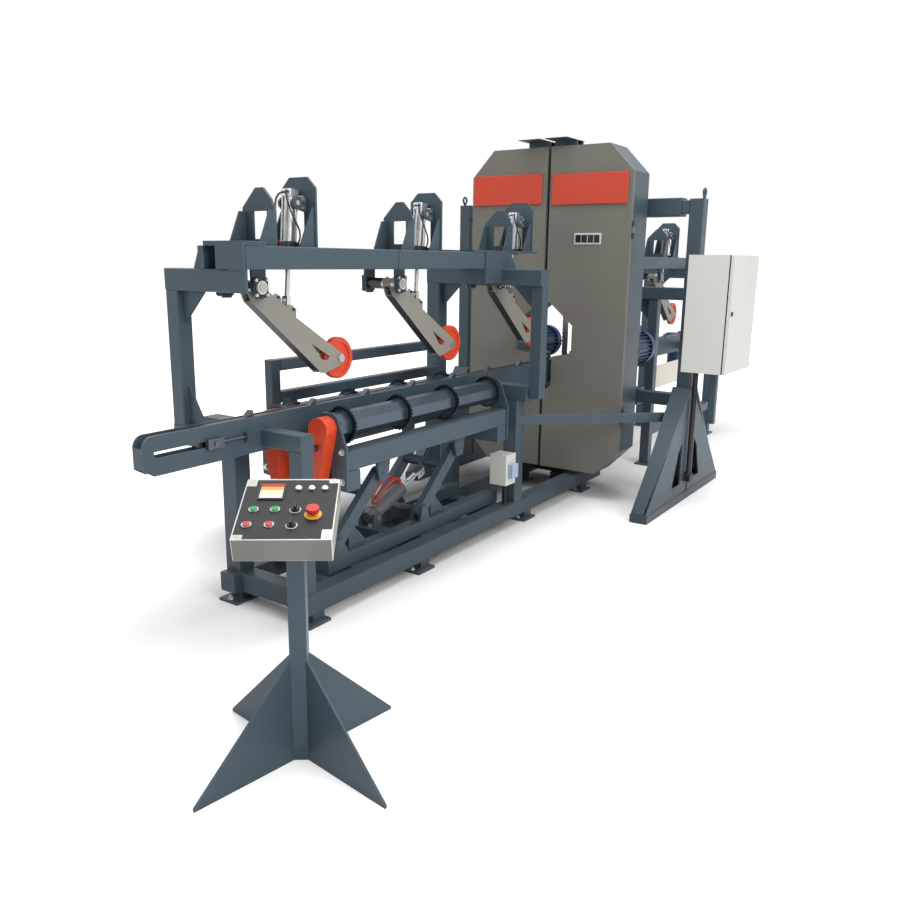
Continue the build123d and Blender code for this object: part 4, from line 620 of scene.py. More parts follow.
# Log turner: roller axis and drum edge, studs of the chain guards, lift cylinder and its hoses
ROLLER_AXIS = (0.170, 0.910)
DRUM_EDGE = 0.076
DRUM_METAL = 0.75
DISC_METAL = 0.85
DISC_STEEL = srgb(44, 49, 54)
STUD_BACK = -3.0273
STUD_STEEL = srgb(70, 72, 74)
STUD_METAL = 0.7
LIFT_BASE = (-2.435, 0.0, 0.300)
LIFT_CLIMB = 0.3403
LIFT_HOSE = ((0.284, 0.018, 0.038), (0.286, 0.021, 0.072), (0.235, 0.027, 0.104),
             (0.150, 0.029, 0.098), (0.086, 0.024, 0.074), (0.066, 0.018, 0.038))
LIFT_HOSE_R = 0.0085

# Feed chain: its ends and runs, link plates and pins
CHAIN_ENDS = (-3.54, 2.76)
CHAIN_RUNS = (0.982, 0.858)
LINK_GAPS = (0.0208, 0.0183)
LINK_THICK = 0.0024
LINK_HALF = 0.0165
LINK_LAP = 0.008
CHAIN_PIN_R = 0.0075
CHAIN_PIN_HALF = 0.0244

# Electrics: where the shade changes, and to what
CONDUIT_TOP = 0.9845
ENCLOSURE_SEAM = -1.282
CONDUIT_BLACK = srgb(26, 26, 28)
LOCK_FRONT = -1.3115
LOCK_BLACK = srgb(34, 34, 36)
SOCKET_FRONT = -0.3003
SOCKET_COVER = srgb(166, 176, 200)
CABLE_TOP = 0.2998
CABLE_BLACK = srgb(28, 28, 30)

# Console: its panel and, along the panel's own u, v and w, what stands on it
PANEL_CENTRE = Vector((-4.131, -1.080, 0.957))
PANEL_TURN = math.radians(36.87)
PANEL_TILT = math.radians(18.0)
# Painted shade for the forward faces of the console box
CONSOLE_FRONT_SHADE = srgb(106, 105, 102)
LOOKS_FORWARD = 0.8
FACE_SHEETS = (((-0.116, -0.160), (0.116, 0.158)), ((-0.146, -0.138), (-0.116, 0.122)),
               ((0.116, -0.112), (0.146, 0.140)))
FACE_THICK = 0.0003
SCREEN_RIM = ((-0.103, 0.042, 0.0035), (-0.019, 0.134, 0.0052))
SCREEN_BANDS = ((0.112, 0.128, (168, 60, 48)), (0.094, 0.111, (206, 150, 84)),
                (0.070, 0.093, (226, 214, 160)), (0.049, 0.069, (232, 232, 220)))
SCREEN_SIDES = (-0.097, -0.025)
SCREEN_DEPTH = (0.0050, 0.0058)
LAMP_SPOTS = ((0.022, 0.104, 0.0065), (0.064, 0.104, 0.0065), (0.106, 0.104, 0.0065))
LAMP_RISE = 0.005
LAMP_TAPER = 0.72
BUTTON_SPOTS = ((-0.104, -0.011), (-0.038, -0.011), (-0.113, -0.091), (-0.045, -0.091))
RING_R = 0.0158
RING_FOOT = 0.0012
RING_RISE = 0.0032
RING_INNER = 0.76
DIAL_SPOTS = ((0.024, -0.010, 0.0002), (0.022, -0.092, 0.0002))
DIAL = (0.0185, 0.00025)
STOP_SPOT = (0.082, -0.040, 0.003)
STOP_PLATE = (0.0272, 0.0012)
SCREW_U = (-0.133, 0.133)
SCREW_V = (-0.150, 0.152)
SCREW = (0.0055, 0.0025)
SCREW_TOP_R = 0.004

# Fasteners: anchor bolts of the feet, lug bolts, bolts of the turner's end plates; washer and head
FOOT_X = (-3.19, -2.317, -1.12, -0.23)
FOOT_BOLT_BACK = 0.053
FOOT_BOLT_OUT = 0.25
FOOT_TOP = 0.015
LUG_AHEAD = 0.038
LUG_FACE = -0.050
LUG_RISES = (-0.022, 0.018)
END_PLATE_X = -2.955
END_PLATE_BOLTS = ((0.262, 0.65), (0.262, 0.80), (0.208, 0.65))
WASHER_SPREAD = 1.5
WASHER_THICK = 0.003
HEAD_CORNER = 1.12
HEAD_RISE = 0.012

# Stage: floor with a painted shadow under the machine, its lift to white by distance, lamps, camera
FLOOR_HALF = 60.0
FLOOR_SHADES = (0.90, 0.94)
SHADOW_PATCH = ((-1.30, 0.50), (0.95, 0.20))
SHADOW_PATCH_FADE = 0.78
SHADOW_PATCH_SHADE = 0.12
MACHINE_FLOOR = ((-0.3, 0.0), (2.9, 0.0))
LIFT_NEAR = (0.35, 1.9, 0.0, 0.6)
LIFT_FAR = (2.0, 7.0, 0.0, 0.25)
LIFT_PAST_SHADOW = (0.1, 0.9)
WORLD_LIGHT = 0.40
LAMPS = (("key", (-4.8, -9.0, 6.5), (-1.4, 0, 0.9), 5.0, 560.0),
         ("fill", (-2.0, 7.5, 6.0), (0, 0, 1.0), 6.0, 150.0),
         ("side", (-9.0, 2.5, 4.5), (-1.5, 0.0, 1.2), 4.0, 70.0),
         ("top", (-0.8, -1.0, 8.0), (-0.8, 0.0, 0.0), 6.0, 430.0))
CAMERA_AT = (-5.8946, -2.8768, 1.7144)
CAMERA_TURN = (34.03, -12.92, 0.71)
CAMERA_LENS = 33.08
CAMERA_SENSOR = 36.0
CAMERA_END = 200.0


class RESAW_OT_frames(bpy.types.Operator):
    """Paints tubes, beds and bearings, and adds the welded plates of the near beam"""

    bl_idname = "resaw.frames"
    bl_label = "Frames"

    def execute(self, context):
        tone = colours()

        def bearings(finish, base):
            """Dark housings, bright rings and corner bolts."""
            tree = finish.tree
            y = finish.axis("Y")
            rise = off_centre(tree, finish.axis("Z"), PIVOT_Z)
            step = fold(tree, "MINIMUM", [off_centre(tree, finish.axis("X"), x) for x in PIVOTS])
            proud = finish.any(finish.between(y, *BEARING_NEAR), finish.between(y, *BEARING_FAR))
            cover = finish.any(calc(tree, "LESS_THAN", y, BEARING_COVERS[0]),
                               calc(tree, "GREATER_THAN", y, BEARING_COVERS[1]))
            housing = finish.both(calc(tree, "LESS_THAN", step, BEARING_HALF[0]),
                                  calc(tree, "LESS_THAN", rise, BEARING_HALF[1]), proud)
            at_bolt = squares(tree, calc(tree, "SUBTRACT", step, BEARING_BOLT[0]),
                              calc(tree, "SUBTRACT", rise, BEARING_BOLT[1]))
            bolt = calc(tree, "LESS_THAN", at_bolt, BEARING_BOLT_R ** 2)
            ring = calc(tree, "LESS_THAN", squares(tree, step, rise), BEARING_RING_R ** 2)
            bright = finish.both(housing, cover, finish.any(bolt, ring))
            shade = blend(tree, housing, base, BEARING_DARK)
            shade = blend(tree, bright, shade, BEARING_BRIGHT)
            return shade, calc(tree, "MULTIPLY", bright, BEARING_METAL)

        def outfeed(finish, base):
            """Bearings, and side panels coloured pale as painted light."""
            side = calc(finish.tree, "ABSOLUTE", finish.axis("Y"))
            # Painted light: the outfeed side panels are coloured pale.
            panel = finish.both(finish.between(side, *SIDE_PANEL_Y),
                                finish.between(finish.axis("Z"), *SIDE_PANEL_Z),
                                finish.between(finish.axis("X"), *SIDE_PANEL_X))
            shade, bare = bearings(finish, base)
            return blend(finish.tree, panel, shade, tone.lit_panel), bare

        def low_darkening(finish, base):
            """Darker towards the floor."""
            low = spread(finish.tree, finish.axis("Z"), *LOW_DARK_FADE, 1.0, 0.0)
            return blend(finish.tree, low, base, shaded(tone.frame, LOW_DARK_SCALE)), None

        def rails(finish, base):
            """Rubbed rail tops and bare screws."""
            tree = finish.tree
            rubbed = finish.between(finish.axis("Z"), *RAIL_TOP)
            side = calc(tree, "ABSOLUTE", finish.axis("Y"))
            bright = finish.any(rubbed, calc(tree, "GREATER_THAN", side, BED_SCREW_OUT))
            return blend(tree, bright, base, tone.dark_steel), calc(tree, "MULTIPLY", bright, RAIL_METAL)

        dress(("turner_carriage", "turner_front_links", "turner_rear_links", "console_pedestal"),
              paint("Frame paint", tone.frame))
        dress(("infeed_base_frame", "saw_gantry", "turner_subframe"),
              paint("Floor frame paint", tone.frame, patches=low_darkening))
        dress(("near_saw_frame", "far_saw_frame"),
              paint("Saw body paint", tone.frame, rough=0.38, cloud=0.18))
        dress(("hold_down_frame",), paint("Hold-down frame paint", tone.frame, patches=bearings))
        dress(("outfeed_frame",), paint("Outfeed paint", tone.frame, patches=outfeed))
        dress(("infeed_conveyor_bed", "outfeed_conveyor_bed"),
              paint("Bed paint", tone.frame, patches=rails))

        plates = bmesh.new()
        low_z, high_z = BEAM_RISE
        front = BEAM_NEAR - BEAM_PLATE_THICK
        for low_x, high_x in BEAM_PLATES:
            slab(plates, (low_x, front, low_z), (high_x, BEAM_NEAR, high_z), edge=0.0015)
            for x in (low_x, high_x):
                weld = [(x, BEAM_NEAR - WELD_OUT, z) for z in (low_z, (low_z + high_z) / 2, high_z)]
                rope(plates, weld, WELD_R, sides=6, steps=2)
        finish_piece("beam_plates", plates, paint("Beam plate paint", tone.frame, cloud=0.3), "base")
        return {"FINISHED"}


class RESAW_OT_saws(bpy.types.Operator):
    """Finishes doors, bands, wheels and motors of both saws"""

    bl_idname = "resaw.saws"
    bl_label = "Saws"

    def execute(self, context):
        tone = colours()

        def guarded(finish, base):
            """Belt guard in darker orange."""
            guard = finish.below("X", BELT_GUARD_BACK)
            return blend(finish.tree, guard, base, shaded(tone.orange, BELT_GUARD_SHADE)), None

        dress(("near_saw_door", "far_saw_door"),
              paint("Door paint", tone.cabinet, rough=0.5, cloud=0.16, cloud_scale=5.0, grain=240.0,
                    bump=0.35, rub_highlight=0.0, dust=0.0))
        dress(("near_saw_motor", "far_saw_motor"),
              paint("Motor enamel", tone.blue, rough=0.35, patches=guarded))
        dress(("near_lower_band_wheel", "far_lower_band_wheel", "near_upper_band_wheel",
               "far_upper_band_wheel"),
              metal("Cast wheel", tone.dark_steel, rough=0.45, stretch=(60.0, 60.0, 60.0)))
        dress(("near_band_blade", "far_band_blade"),
              metal("Band steel", tone.steel, stretch=(300.0, 300.0, 5.0)))
        return {"FINISHED"}


class RESAW_OT_door_plates(bpy.types.Operator):
    """Adds the bare orange plates and the counter window on the doors"""

    bl_idname = "resaw.door_plates"
    bl_label = "Door plates"

    def execute(self, context):
        tone, size = colours(), sizes()
        finish = paint("Plate paint", tone.plate, rough=0.4, cloud=0.12, rub_highlight=0.35, dust=0.02)
        front, back = DOOR_FRONT - size.plate_thick, DOOR_FRONT + DOOR_SKIN
        for body, low_y, high_y, top in DOOR_PLATES:
            mesh = bmesh.new()
            low = (front, low_y, top - size.plate_height)
            slab(mesh, low, (back, high_y, top), edge=0.004, segments=3)
            finish_piece(f"{body}_plate", mesh, finish, body)

        rim = bmesh.new()
        slab(rim, (DOOR_FRONT - COUNTER_RIM, *COUNTER_LOW), (back, *COUNTER_HIGH), edge=0.002)
        pale = plastic("Pale rim", srgb(206, 206, 200), rough=0.45)
        finish_piece("counter_rim", rim, pale, "near_saw_door")
        cells = bmesh.new()
        side, rise = COUNTER_EDGE
        step = (COUNTER_HIGH[0] - COUNTER_LOW[0] - 2 * side) / COUNTER_CELLS
        for i in range(COUNTER_CELLS):
            left = COUNTER_LOW[0] + side + i * step
            slab(cells, (DOOR_FRONT - CELL_FRONT, left + CELL_GAP, COUNTER_LOW[1] + rise),
                 (DOOR_FRONT - CELL_BACK, left + step - CELL_GAP, COUNTER_HIGH[1] - rise),
                 edge=0.001)
        window = plastic("Dark window", srgb(38, 38, 40), rough=0.18, coat=0.4)
        finish_piece("counter_cells", cells, window, "near_saw_door")
        return {"FINISHED"}


class RESAW_OT_hold_downs(bpy.types.Operator):
    """Finishes the hold-downs, and adds their nuts, bolts and second air hoses"""

    bl_idname = "resaw.hold_downs"
    bl_label = "Hold-downs"

    def execute(self, context):
        tone = colours()

        def pins(finish, base):
            """Bare pins, a darker far shaft and painted shade on the underside."""
            tree = finish.tree
            pin = calc(tree, "GREATER_THAN", calc(tree, "ABSOLUTE", finish.axis("Y")), ARM_PIN_OUT)
            turned = put(tree, "ShaderNodeSeparateXYZ", Vector=normal(tree))
            # Painted shade on faces that look down.
            under = calc(tree, "LESS_THAN", turned.outputs["Z"], LOOKS_DOWN)
            shade = blend(tree, under, base, ARM_UNDER_SHADOW)
            shaft = calc(tree, "GREATER_THAN", finish.axis("Y"), ARM_SHAFT_OUT)
            steel = blend(tree, shaft, tone.steel, ARM_SHAFT)
            return blend(tree, pin, shade, steel), calc(tree, "MULTIPLY", pin, BARE_METAL)

        arm = paint("Arm paint", tone.arm, rough=0.36, cloud=0.14, rub_highlight=0.5, patches=pins)
        wheel = paint("Wheel paint", tone.orange, rough=0.42, cloud=0.16, rub_highlight=0.8,
                      rub_highlight_colour=srgb(150, 142, 136))
        nut = metal("Axle nut", srgb(196, 196, 190), rough=0.3, stretch=(120.0, 120.0, 120.0), stain=0.1)
        dark = paint("Black bolt", srgb(34, 36, 38), rough=0.4, cloud=0.2, rub_highlight=0.5)
        rod = metal("Ground rod", srgb(206, 208, 210), rough=0.16, stretch=(400.0, 400.0, 8.0),
                    stain=0.05)
        rubber = plastic("Black hose", srgb(22, 22, 24), rough=0.45)
        for number, pivot in enumerate(PIVOTS, 1):
            trunnion = pivot + TRUNNION_AHEAD

            def tube_and_cap(finish, base, trunnion=trunnion):
                """First air hose behind the cylinder, and its dark lower cap."""
                tree = finish.tree
                drop = calc(tree, "SUBTRACT", finish.axis("Z"), TRUNNION_Z)
                axis = calc(tree, "MULTIPLY_ADD", drop, CYLINDER_LEAN, trunnion)
                behind = calc(tree, "SUBTRACT", finish.axis("X"), axis)
                tube = calc(tree, "LESS_THAN", behind, TUBE_BEHIND)
                low_cap = calc(tree, "LESS_THAN", drop, LOW_CAP_TOP)
                shade = blend(tree, low_cap, base, LOW_CAP_DARK)
                bare = calc(tree, "SUBTRACT", 1.0, finish.any(tube, low_cap))
                line = blend(tree, calc(tree, "LESS_THAN", drop, TUBE_RED_TOP), TUBE_BLACK, TUBE_RED)
                return blend(tree, tube, shade, line), calc(tree, "MULTIPLY", bare, BARREL_METAL)

            barrel = metal(f"Cylinder alloy {number}", tone.alloy, rough=0.34,
                           stretch=(200.0, 200.0, 6.0), stain=0.1, patches=tube_and_cap)
            for kind, finish in (("arm", arm), ("wheel", wheel), ("rod", rod), ("cylinder", barrel)):
                dress((f"hold_down_{kind}_{number}",), finish)

            nuts, ears, hose = bmesh.new(), bmesh.new(), bmesh.new()
            for side in (-1, 1):
                drum(nuts, (ARM_LENGTH, side * ARM_HALF, 0), (0, side, 0), *AXLE_NUT, sides=6)
                for u in EAR_BOLTS:
                    drum(ears, (u, side * ARM_HALF, EAR_BOLT_RISE), (0, side, 0), *EAR_BOLT, sides=8)
            rope(hose, AIR_HOSE, AIR_HOSE_R)
            hub = Matrix.Translation((pivot, 0, PIVOT_Z)) @ Matrix.Rotation(ARM_DOWN, 4, "Y")
            lean = Matrix.Rotation(CYLINDER_LEAN, 4, "Y")
            top = Matrix.Translation((trunnion, 0, TRUNNION_Z)) @ lean
            finish_piece(f"axle_nuts_{number}", nuts, nut, f"hold_down_arm_{number}", hub)
            finish_piece(f"ear_bolts_{number}", ears, dark, f"hold_down_arm_{number}", hub)
            finish_piece(f"air_hose_{number}", hose, rubber, f"hold_down_cylinder_{number}",
                         top)
        return {"FINISHED"}


class RESAW_OT_turner(bpy.types.Operator):
    """Finishes the log turner, sprockets and drives, and adds the lift cylinder's hoses"""

    bl_idname = "resaw.turner"
    bl_label = "Turner and drives"

    def execute(self, context):
        tone = colours()

        def studs(finish, base):
            """Bare studs before the guards."""
            bare = finish.below("X", STUD_BACK)
            shade = blend(finish.tree, bare, base, STUD_STEEL)
            return shade, calc(finish.tree, "MULTIPLY", bare, STUD_METAL)

        def discs(finish, base):
            """Darker discs outside the drum."""
            tree = finish.tree
            across = calc(tree, "SUBTRACT", calc(tree, "ABSOLUTE", finish.axis("Y")), ROLLER_AXIS[0])
            along = calc(tree, "SUBTRACT", finish.axis("Z"), ROLLER_AXIS[1])
            disc = calc(tree, "GREATER_THAN", squares(tree, across, along), DRUM_EDGE ** 2)
            bare = calc(tree, "MULTIPLY_ADD", disc, DISC_METAL - DRUM_METAL, DRUM_METAL)
            return blend(tree, disc, base, DISC_STEEL), bare

        dress(("turner_chain_guards",),
              paint("Guard paint", tone.orange, rough=0.38, cloud=0.14, rub_highlight=0.5, patches=studs))
        dress(("near_log_roller", "far_log_roller"),
              metal("Roller steel", srgb(78, 89, 100), rough=0.34, stretch=(3.0, 240.0, 240.0),
                    stain=0.18, patches=discs))
        dress(("head_sprocket", "tail_sprocket"),
              metal("Sprocket steel", tone.dark_steel, stretch=(90.0, 4.0, 90.0)))
        dress(("turner_lift_cylinder",), paint("Lift paint", srgb(92, 95, 97), rough=0.4))
        dress(("turner_lift_rod",), metal("Lift rod", srgb(200, 202, 205), rough=0.18, stain=0.05))
        dress(("feed_gearmotor", "turner_gearmotor"), paint("Drive enamel", tone.blue, rough=0.36))

        tilt = Matrix.Translation(LIFT_BASE) @ Matrix.Rotation(-LIFT_CLIMB, 4, "Y")
        rubber = plastic("Red hose rubber", srgb(176, 58, 34), rough=0.5)
        for number, side in ((1, -1), (2, 1)):
            hose = bmesh.new()
            rope(hose, [(u, side * v, w) for u, v, w in LIFT_HOSE], LIFT_HOSE_R)
            finish_piece(f"lift_hose_{number}", hose, rubber, "turner_lift_cylinder", tilt)
        return {"FINISHED"}


class RESAW_OT_chain(bpy.types.Operator):
    """Finishes the feed chain and adds its link plates and pins"""

    bl_idname = "resaw.chain"
    bl_label = "Feed chain"

    def execute(self, context):
        tone, size = colours(), sizes()
        steel = metal("Chain steel", tone.dark_steel, rough=0.4, stretch=(40.0, 40.0, 40.0), stain=0.5)
        dress(("feed_chain",), steel)

        start, end = CHAIN_ENDS
        count = int((end - start) / size.link_pitch)
        plates, pins = bmesh.new(), bmesh.new()
        for run in CHAIN_RUNS:
            for i in range(count):
                x = start + i * size.link_pitch
                gap = LINK_GAPS[i % 2]
                for side in (-1, 1):
                    near, far = sorted((side * gap, side * (gap + LINK_THICK)))
                    slab(plates, (x - LINK_LAP, near, run - LINK_HALF),
                         (x + size.link_pitch + LINK_LAP, far, run + LINK_HALF))
        finish_piece("chain_link_plates", plates, steel, "base")
        for i in range(count + 1):
            spot = (start + i * size.link_pitch, -CHAIN_PIN_HALF, CHAIN_RUNS[0])
            drum(pins, spot, (0, 1, 0), CHAIN_PIN_R, 2 * CHAIN_PIN_HALF, sides=8)
        bright = metal("Chain pin", tone.steel, stretch=(80.0, 80.0, 80.0))
        finish_piece("chain_pins", pins, bright, "base")
        return {"FINISHED"}


class RESAW_OT_electrics(bpy.types.Operator):
    """Finishes the enclosure, its door and the junction box"""

    bl_idname = "resaw.electrics"
    bl_label = "Electrics"

    def execute(self, context):
        tone = colours()

        def conduits(finish, base):
            """Black conduits and door seam."""
            black = finish.any(finish.below("Z", CONDUIT_TOP), finish.below("Y", ENCLOSURE_SEAM))
            return blend(finish.tree, black, base, CONDUIT_BLACK), None

        def lock(finish, base):
            """Black lock."""
            return blend(finish.tree, finish.below("Y", LOCK_FRONT), base, LOCK_BLACK), None

        def socket(finish, base):
            """Blue-grey cover and black cable."""
            shade = blend(finish.tree, finish.below("Y", SOCKET_FRONT), base, SOCKET_COVER)
            return blend(finish.tree, finish.below("Z", CABLE_TOP), shade, CABLE_BLACK), None

        for node, name, patches in (("electric_enclosure", "Enclosure coat", conduits),
                                    ("enclosure_door", "Enclosure door coat", lock),
                                    ("junction_box", "Junction box coat", socket)):
            dress((node,), paint(name, tone.pale, rough=0.48, cloud=0.07, grain=420.0, bump=0.2, rub_highlight=0.25,
                                 rub_highlight_colour=srgb(236, 236, 232), dust=0.02, patches=patches))
        return {"FINISHED"}


def panel_matrix():
    """Frame of the console panel: u to the right, v away from the operator, w out of the face."""
    ahead = Vector((math.cos(PANEL_TURN), math.sin(PANEL_TURN), 0))
    right = Vector((math.sin(PANEL_TURN), -math.cos(PANEL_TURN), 0))
    out = Vector((-ahead.x * math.sin(PANEL_TILT), -ahead.y * math.sin(PANEL_TILT), math.cos(PANEL_TILT)))
    turned = Matrix((right, out.cross(right), out)).transposed().to_4x4()
    return Matrix.Translation(PANEL_CENTRE) @ turned


class RESAW_OT_console(bpy.types.Operator):
    """Finishes the console and adds its black face, screen, lamps, rings, dials and screws"""

    bl_idname = "resaw.console"
    bl_label = "Console"

    def execute(self, context):
        size = sizes()
        there = panel_matrix()

        def shaded_front(finish, base):
            """Painted shade on the forward faces."""
            forward = (-math.cos(PANEL_TURN), -math.sin(PANEL_TURN), 0.0)
            facing = vector_calc(finish.tree, "DOT_PRODUCT", normal(finish.tree), forward)
            front = calc(finish.tree, "GREATER_THAN", facing, LOOKS_FORWARD)
            return blend(finish.tree, front, base, CONSOLE_FRONT_SHADE), None

        def fit(name, mesh, material):
            """Sets a piece on the panel."""
            finish_piece(name, mesh, material, "base", there)

        dress(("console_box",),
              metal("Console steel", srgb(192, 191, 187), rough=0.38, stretch=(420.0, 420.0, 420.0),
                    cloud=0.5, stain=0.2, patches=shaded_front))
        dress(("green_button_1", "green_button_2"),
              plastic("Green cap", srgb(40, 150, 92), rough=0.3, coat=0.4))
        dress(("red_button_1", "red_button_2"),
              plastic("Red cap", srgb(206, 52, 60), rough=0.3, coat=0.4))
        dress(("selector_switch_1", "selector_switch_2"),
              plastic("Black knob", srgb(26, 26, 28), rough=0.38))
        dress(("emergency_stop",), plastic("Stop cap", srgb(206, 46, 34), rough=0.28, coat=0.5))

        face = bmesh.new()
        for low, high in FACE_SHEETS:
            slab(face, (*low, 0.0), (*high, FACE_THICK))
        black = plastic("Black face", srgb(15, 15, 17), rough=0.55, bump=0.05)
        fit("console_face", face, black)

        screen = bmesh.new()
        slab(screen, *SCREEN_RIM, edge=0.0012)
        fit("screen_rim", screen, plastic("Screen rim", srgb(44, 42, 42), rough=0.35))
        left, right = SCREEN_SIDES
        back, front = SCREEN_DEPTH
        for i, (low, high, shade) in enumerate(SCREEN_BANDS, 1):
            lit = bmesh.new()
            slab(lit, (left, low, back), (right, high, front))
            light = glow(f"Screen light {i}", srgb(*shade), strength=0.25)
            fit(f"screen_band_{i}", lit, light)

        lamps = bmesh.new()
        for spot in LAMP_SPOTS:
            drum(lamps, spot, UP, size.lamp_radius, LAMP_RISE, top=size.lamp_radius * LAMP_TAPER)
        fit("lamp_lenses", lamps, glow("Lamp lens", srgb(232, 238, 232), strength=0.2))

        rings = bmesh.new()
        for u, v in BUTTON_SPOTS:
            foot = bmesh.ops.create_circle(rings, cap_ends=False, segments=28, radius=RING_R,
                                           matrix=Matrix.Translation((u, v, RING_FOOT)))["verts"]
            raised, rim = pull(rings, edges_of(foot))
            bmesh.ops.translate(rings, vec=(0, 0, RING_RISE), verts=raised)
            inner = pull(rings, rim)[0]
            bmesh.ops.scale(rings, vec=(RING_INNER, RING_INNER, 1.0), verts=inner,
                            space=Matrix.Translation((-u, -v, 0)))
        chrome = metal("Ring chrome", srgb(214, 214, 212), rough=0.2, stain=0.03)
        fit("button_rings", rings, chrome)

        dials = bmesh.new()
        for spot in DIAL_SPOTS:
            drum(dials, spot, UP, *DIAL, sides=32)
        fit("selector_dials", dials, plastic("Pale dial", srgb(206, 206, 202), rough=0.4))

        plate = bmesh.new()
        drum(plate, STOP_SPOT, UP, *STOP_PLATE, sides=32)
        fit("stop_plate", plate, plastic("Yellow plate", srgb(228, 178, 40), rough=0.4))

        screws = bmesh.new()
        for u in SCREW_U:
            for v in SCREW_V:
                drum(screws, (u, v, 0.0), UP, *SCREW, sides=16, top=SCREW_TOP_R)
        steel = metal("Screw steel", srgb(200, 200, 198), rough=0.25)
        fit("console_screws", screws, steel)
        return {"FINISHED"}


class RESAW_OT_fasteners(bpy.types.Operator):
    """Adds bolt heads on the feet, the cylinder lugs and the turner's end plates"""

    bl_idname = "resaw.fasteners"
    bl_label = "Fasteners"

    def execute(self, context):
        size = sizes()
        zinc = metal("Zinc bolt", srgb(188, 186, 178), rough=0.34, stretch=(120.0, 120.0, 120.0),
                     stain=0.15)

        def bolts(name, body, spots, axis, scale=1.0):
            """Washers and heads that look along an axis."""
            mesh = bmesh.new()
            radius, washer = size.bolt_across * scale / 2, WASHER_THICK * scale
            for spot in spots:
                drum(mesh, spot, axis, radius * WASHER_SPREAD, washer, sides=16)
                drum(mesh, Vector(spot) + Vector(axis) * washer, axis, radius * HEAD_CORNER,
                     HEAD_RISE * scale, size.bolt_sides)
            finish_piece(name, mesh, zinc, body)

        feet = [(x - FOOT_BOLT_BACK, side * FOOT_BOLT_OUT, FOOT_TOP) for x in FOOT_X for side in (-1, 1)]
        lugs = [(pivot + TRUNNION_AHEAD + LUG_AHEAD, LUG_FACE, TRUNNION_Z + rise)
                for pivot in PIVOTS for rise in LUG_RISES]
        ends = [(END_PLATE_X, side * y, z) for side in (-1, 1) for y, z in END_PLATE_BOLTS]
        bolts("anchor_bolts", "base", feet, (0, 0, 1))
        bolts("lug_bolts", "base", lugs, (0, -1, 0), scale=0.6)
        bolts("carriage_bolts", "turner_carriage", ends, (-1, 0, 0), scale=0.9)
        return {"FINISHED"}


def floor_finish():
    """Pale floor with a painted shadow under the machine, lifted to white away from it."""
    material = bpy.data.materials.new("Floor")
    tree = bare_tree(material)
    where = put(tree, "ShaderNodeSeparateXYZ", Vector=place(tree))
    shadow_reach = patch_reach(tree, where, *SHADOW_PATCH)
    machine_reach = patch_reach(tree, where, *MACHINE_FLOOR)

    # Painted shadow: the floor's colour falls dark in a soft patch under the machine.
    shadow = spread(tree, shadow_reach, 0.0, SHADOW_PATCH_FADE, SHADOW_PATCH_SHADE, 1.0)
    cloud = noise(tree, place(tree), 2.0, detail=4.0, rough=0.55)
    mottled = calc(tree, "MULTIPLY", spread(tree, cloud, 0.3, 0.7, *FLOOR_SHADES), shadow)
    shade = put(tree, "ShaderNodeCombineColor", Red=mottled, Green=mottled, Blue=mottled)
    matt = put(tree, "ShaderNodeBsdfDiffuse", Color=shade.outputs["Color"])

    near, far = (spread(tree, machine_reach, *span) for span in (LIFT_NEAR, LIFT_FAR))
    lift = calc(tree, "MULTIPLY", calc(tree, "ADD", near, far), spread(tree, shadow_reach, *LIFT_PAST_SHADOW))
    light = put(tree, "ShaderNodeEmission", Strength=lift)
    lifted = put(tree, "ShaderNodeAddShader")
    feed(tree, matt.outputs["BSDF"], lifted.inputs[0])
    feed(tree, light.outputs["Emission"], lifted.inputs[1])

    pick = put(tree, "ShaderNodeMixShader")
    sources = (seen_rays(tree), matt.outputs["BSDF"], lifted.outputs["Shader"])
    for source, target in zip(sources, pick.inputs):
        feed(tree, source, target)
    put(tree, "ShaderNodeOutputMaterial", Surface=pick.outputs["Shader"])
    return material


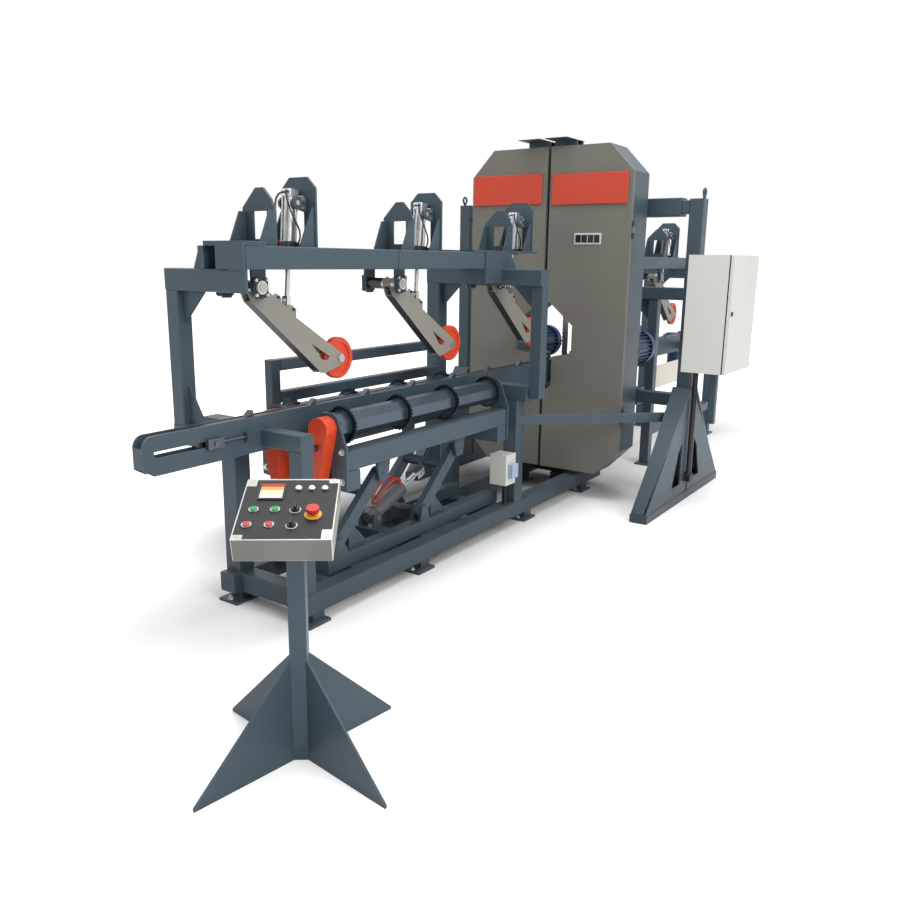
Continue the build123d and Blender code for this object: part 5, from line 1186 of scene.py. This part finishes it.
class RESAW_OT_stage(bpy.types.Operator):
    """Sets floor, light, world and camera"""

    bl_idname = "resaw.stage"
    bl_label = "Stage"

    def execute(self, context):
        scene = context.scene
        scene.view_settings.view_transform = "Standard"

        ground = bmesh.new()
        bmesh.ops.create_grid(ground, x_segments=1, y_segments=1, size=FLOOR_HALF)
        floor = mesh_object("floor", ground, floor_finish())

        world = bpy.data.worlds.new("Studio")
        scene.world = world
        tree = bare_tree(world)
        level = spread(tree, seen_rays(tree), 0.0, 1.0, WORLD_LIGHT, 1.0)
        sky = put(tree, "ShaderNodeBackground", Color=(1, 1, 1, 1), Strength=level)
        put(tree, "ShaderNodeOutputWorld", Surface=sky.outputs["Background"])

        for name, spot, aim, side, power in LAMPS:
            lamp = bpy.data.lights.new(name, "AREA")
            lamp.energy = power
            lamp.size = side
            holder = show(name, lamp)
            holder.location = spot
            holder.rotation_euler = (Vector(aim) - Vector(spot)).to_track_quat("-Z", "Y").to_euler()

        yaw, pitch, roll = (math.radians(a) for a in CAMERA_TURN)
        flat = math.cos(pitch)
        ahead = Vector((math.cos(yaw) * flat, math.sin(yaw) * flat, math.sin(pitch)))
        level_right = Vector((math.sin(yaw), -math.cos(yaw), 0.0))
        right = level_right * math.cos(roll) + level_right.cross(ahead) * math.sin(roll)
        turned = Matrix((right, right.cross(ahead), -ahead)).transposed().to_4x4()
        lens = bpy.data.cameras.new("camera")
        lens.sensor_width = CAMERA_SENSOR
        lens.lens = CAMERA_LENS
        lens.clip_end = CAMERA_END
        camera = show("camera", lens)
        camera.matrix_world = Matrix.Translation(CAMERA_AT) @ turned
        scene.camera = camera
        return {"FINISHED"}


class RESAW_PT_panel(bpy.types.Panel):
    """Lists the finishing steps"""

    bl_idname = "RESAW_PT_panel"
    bl_label = "Resaw"
    bl_space_type = "VIEW_3D"
    bl_region_type = "UI"
    bl_category = "Resaw"

    def draw(self, context):
        layout = self.layout
        for group in (context.scene.resaw_colours, context.scene.resaw_sizes):
            for name in group.bl_rna.properties.keys():
                if name not in ("rna_type", "name"):
                    layout.prop(group, name)
        for step in STEPS:
            layout.operator(step.bl_idname)


STEPS = (RESAW_OT_stage, RESAW_OT_frames, RESAW_OT_saws, RESAW_OT_door_plates, RESAW_OT_hold_downs,
         RESAW_OT_turner, RESAW_OT_chain, RESAW_OT_electrics, RESAW_OT_console, RESAW_OT_fasteners)
CLASSES = (ResawColours, ResawSizes, *STEPS, RESAW_PT_panel)


def register():
    for item in CLASSES:
        bpy.utils.register_class(item)
    bpy.types.Scene.resaw_colours = PointerProperty(type=ResawColours)
    bpy.types.Scene.resaw_sizes = PointerProperty(type=ResawSizes)


def unregister():
    del bpy.types.Scene.resaw_sizes
    del bpy.types.Scene.resaw_colours
    for item in reversed(CLASSES):
        bpy.utils.unregister_class(item)


def main():
    register()
    for step in STEPS:
        family, name = step.bl_idname.split(".")
        getattr(getattr(bpy.ops, family), name)()


if __name__ == "__main__":
    main()
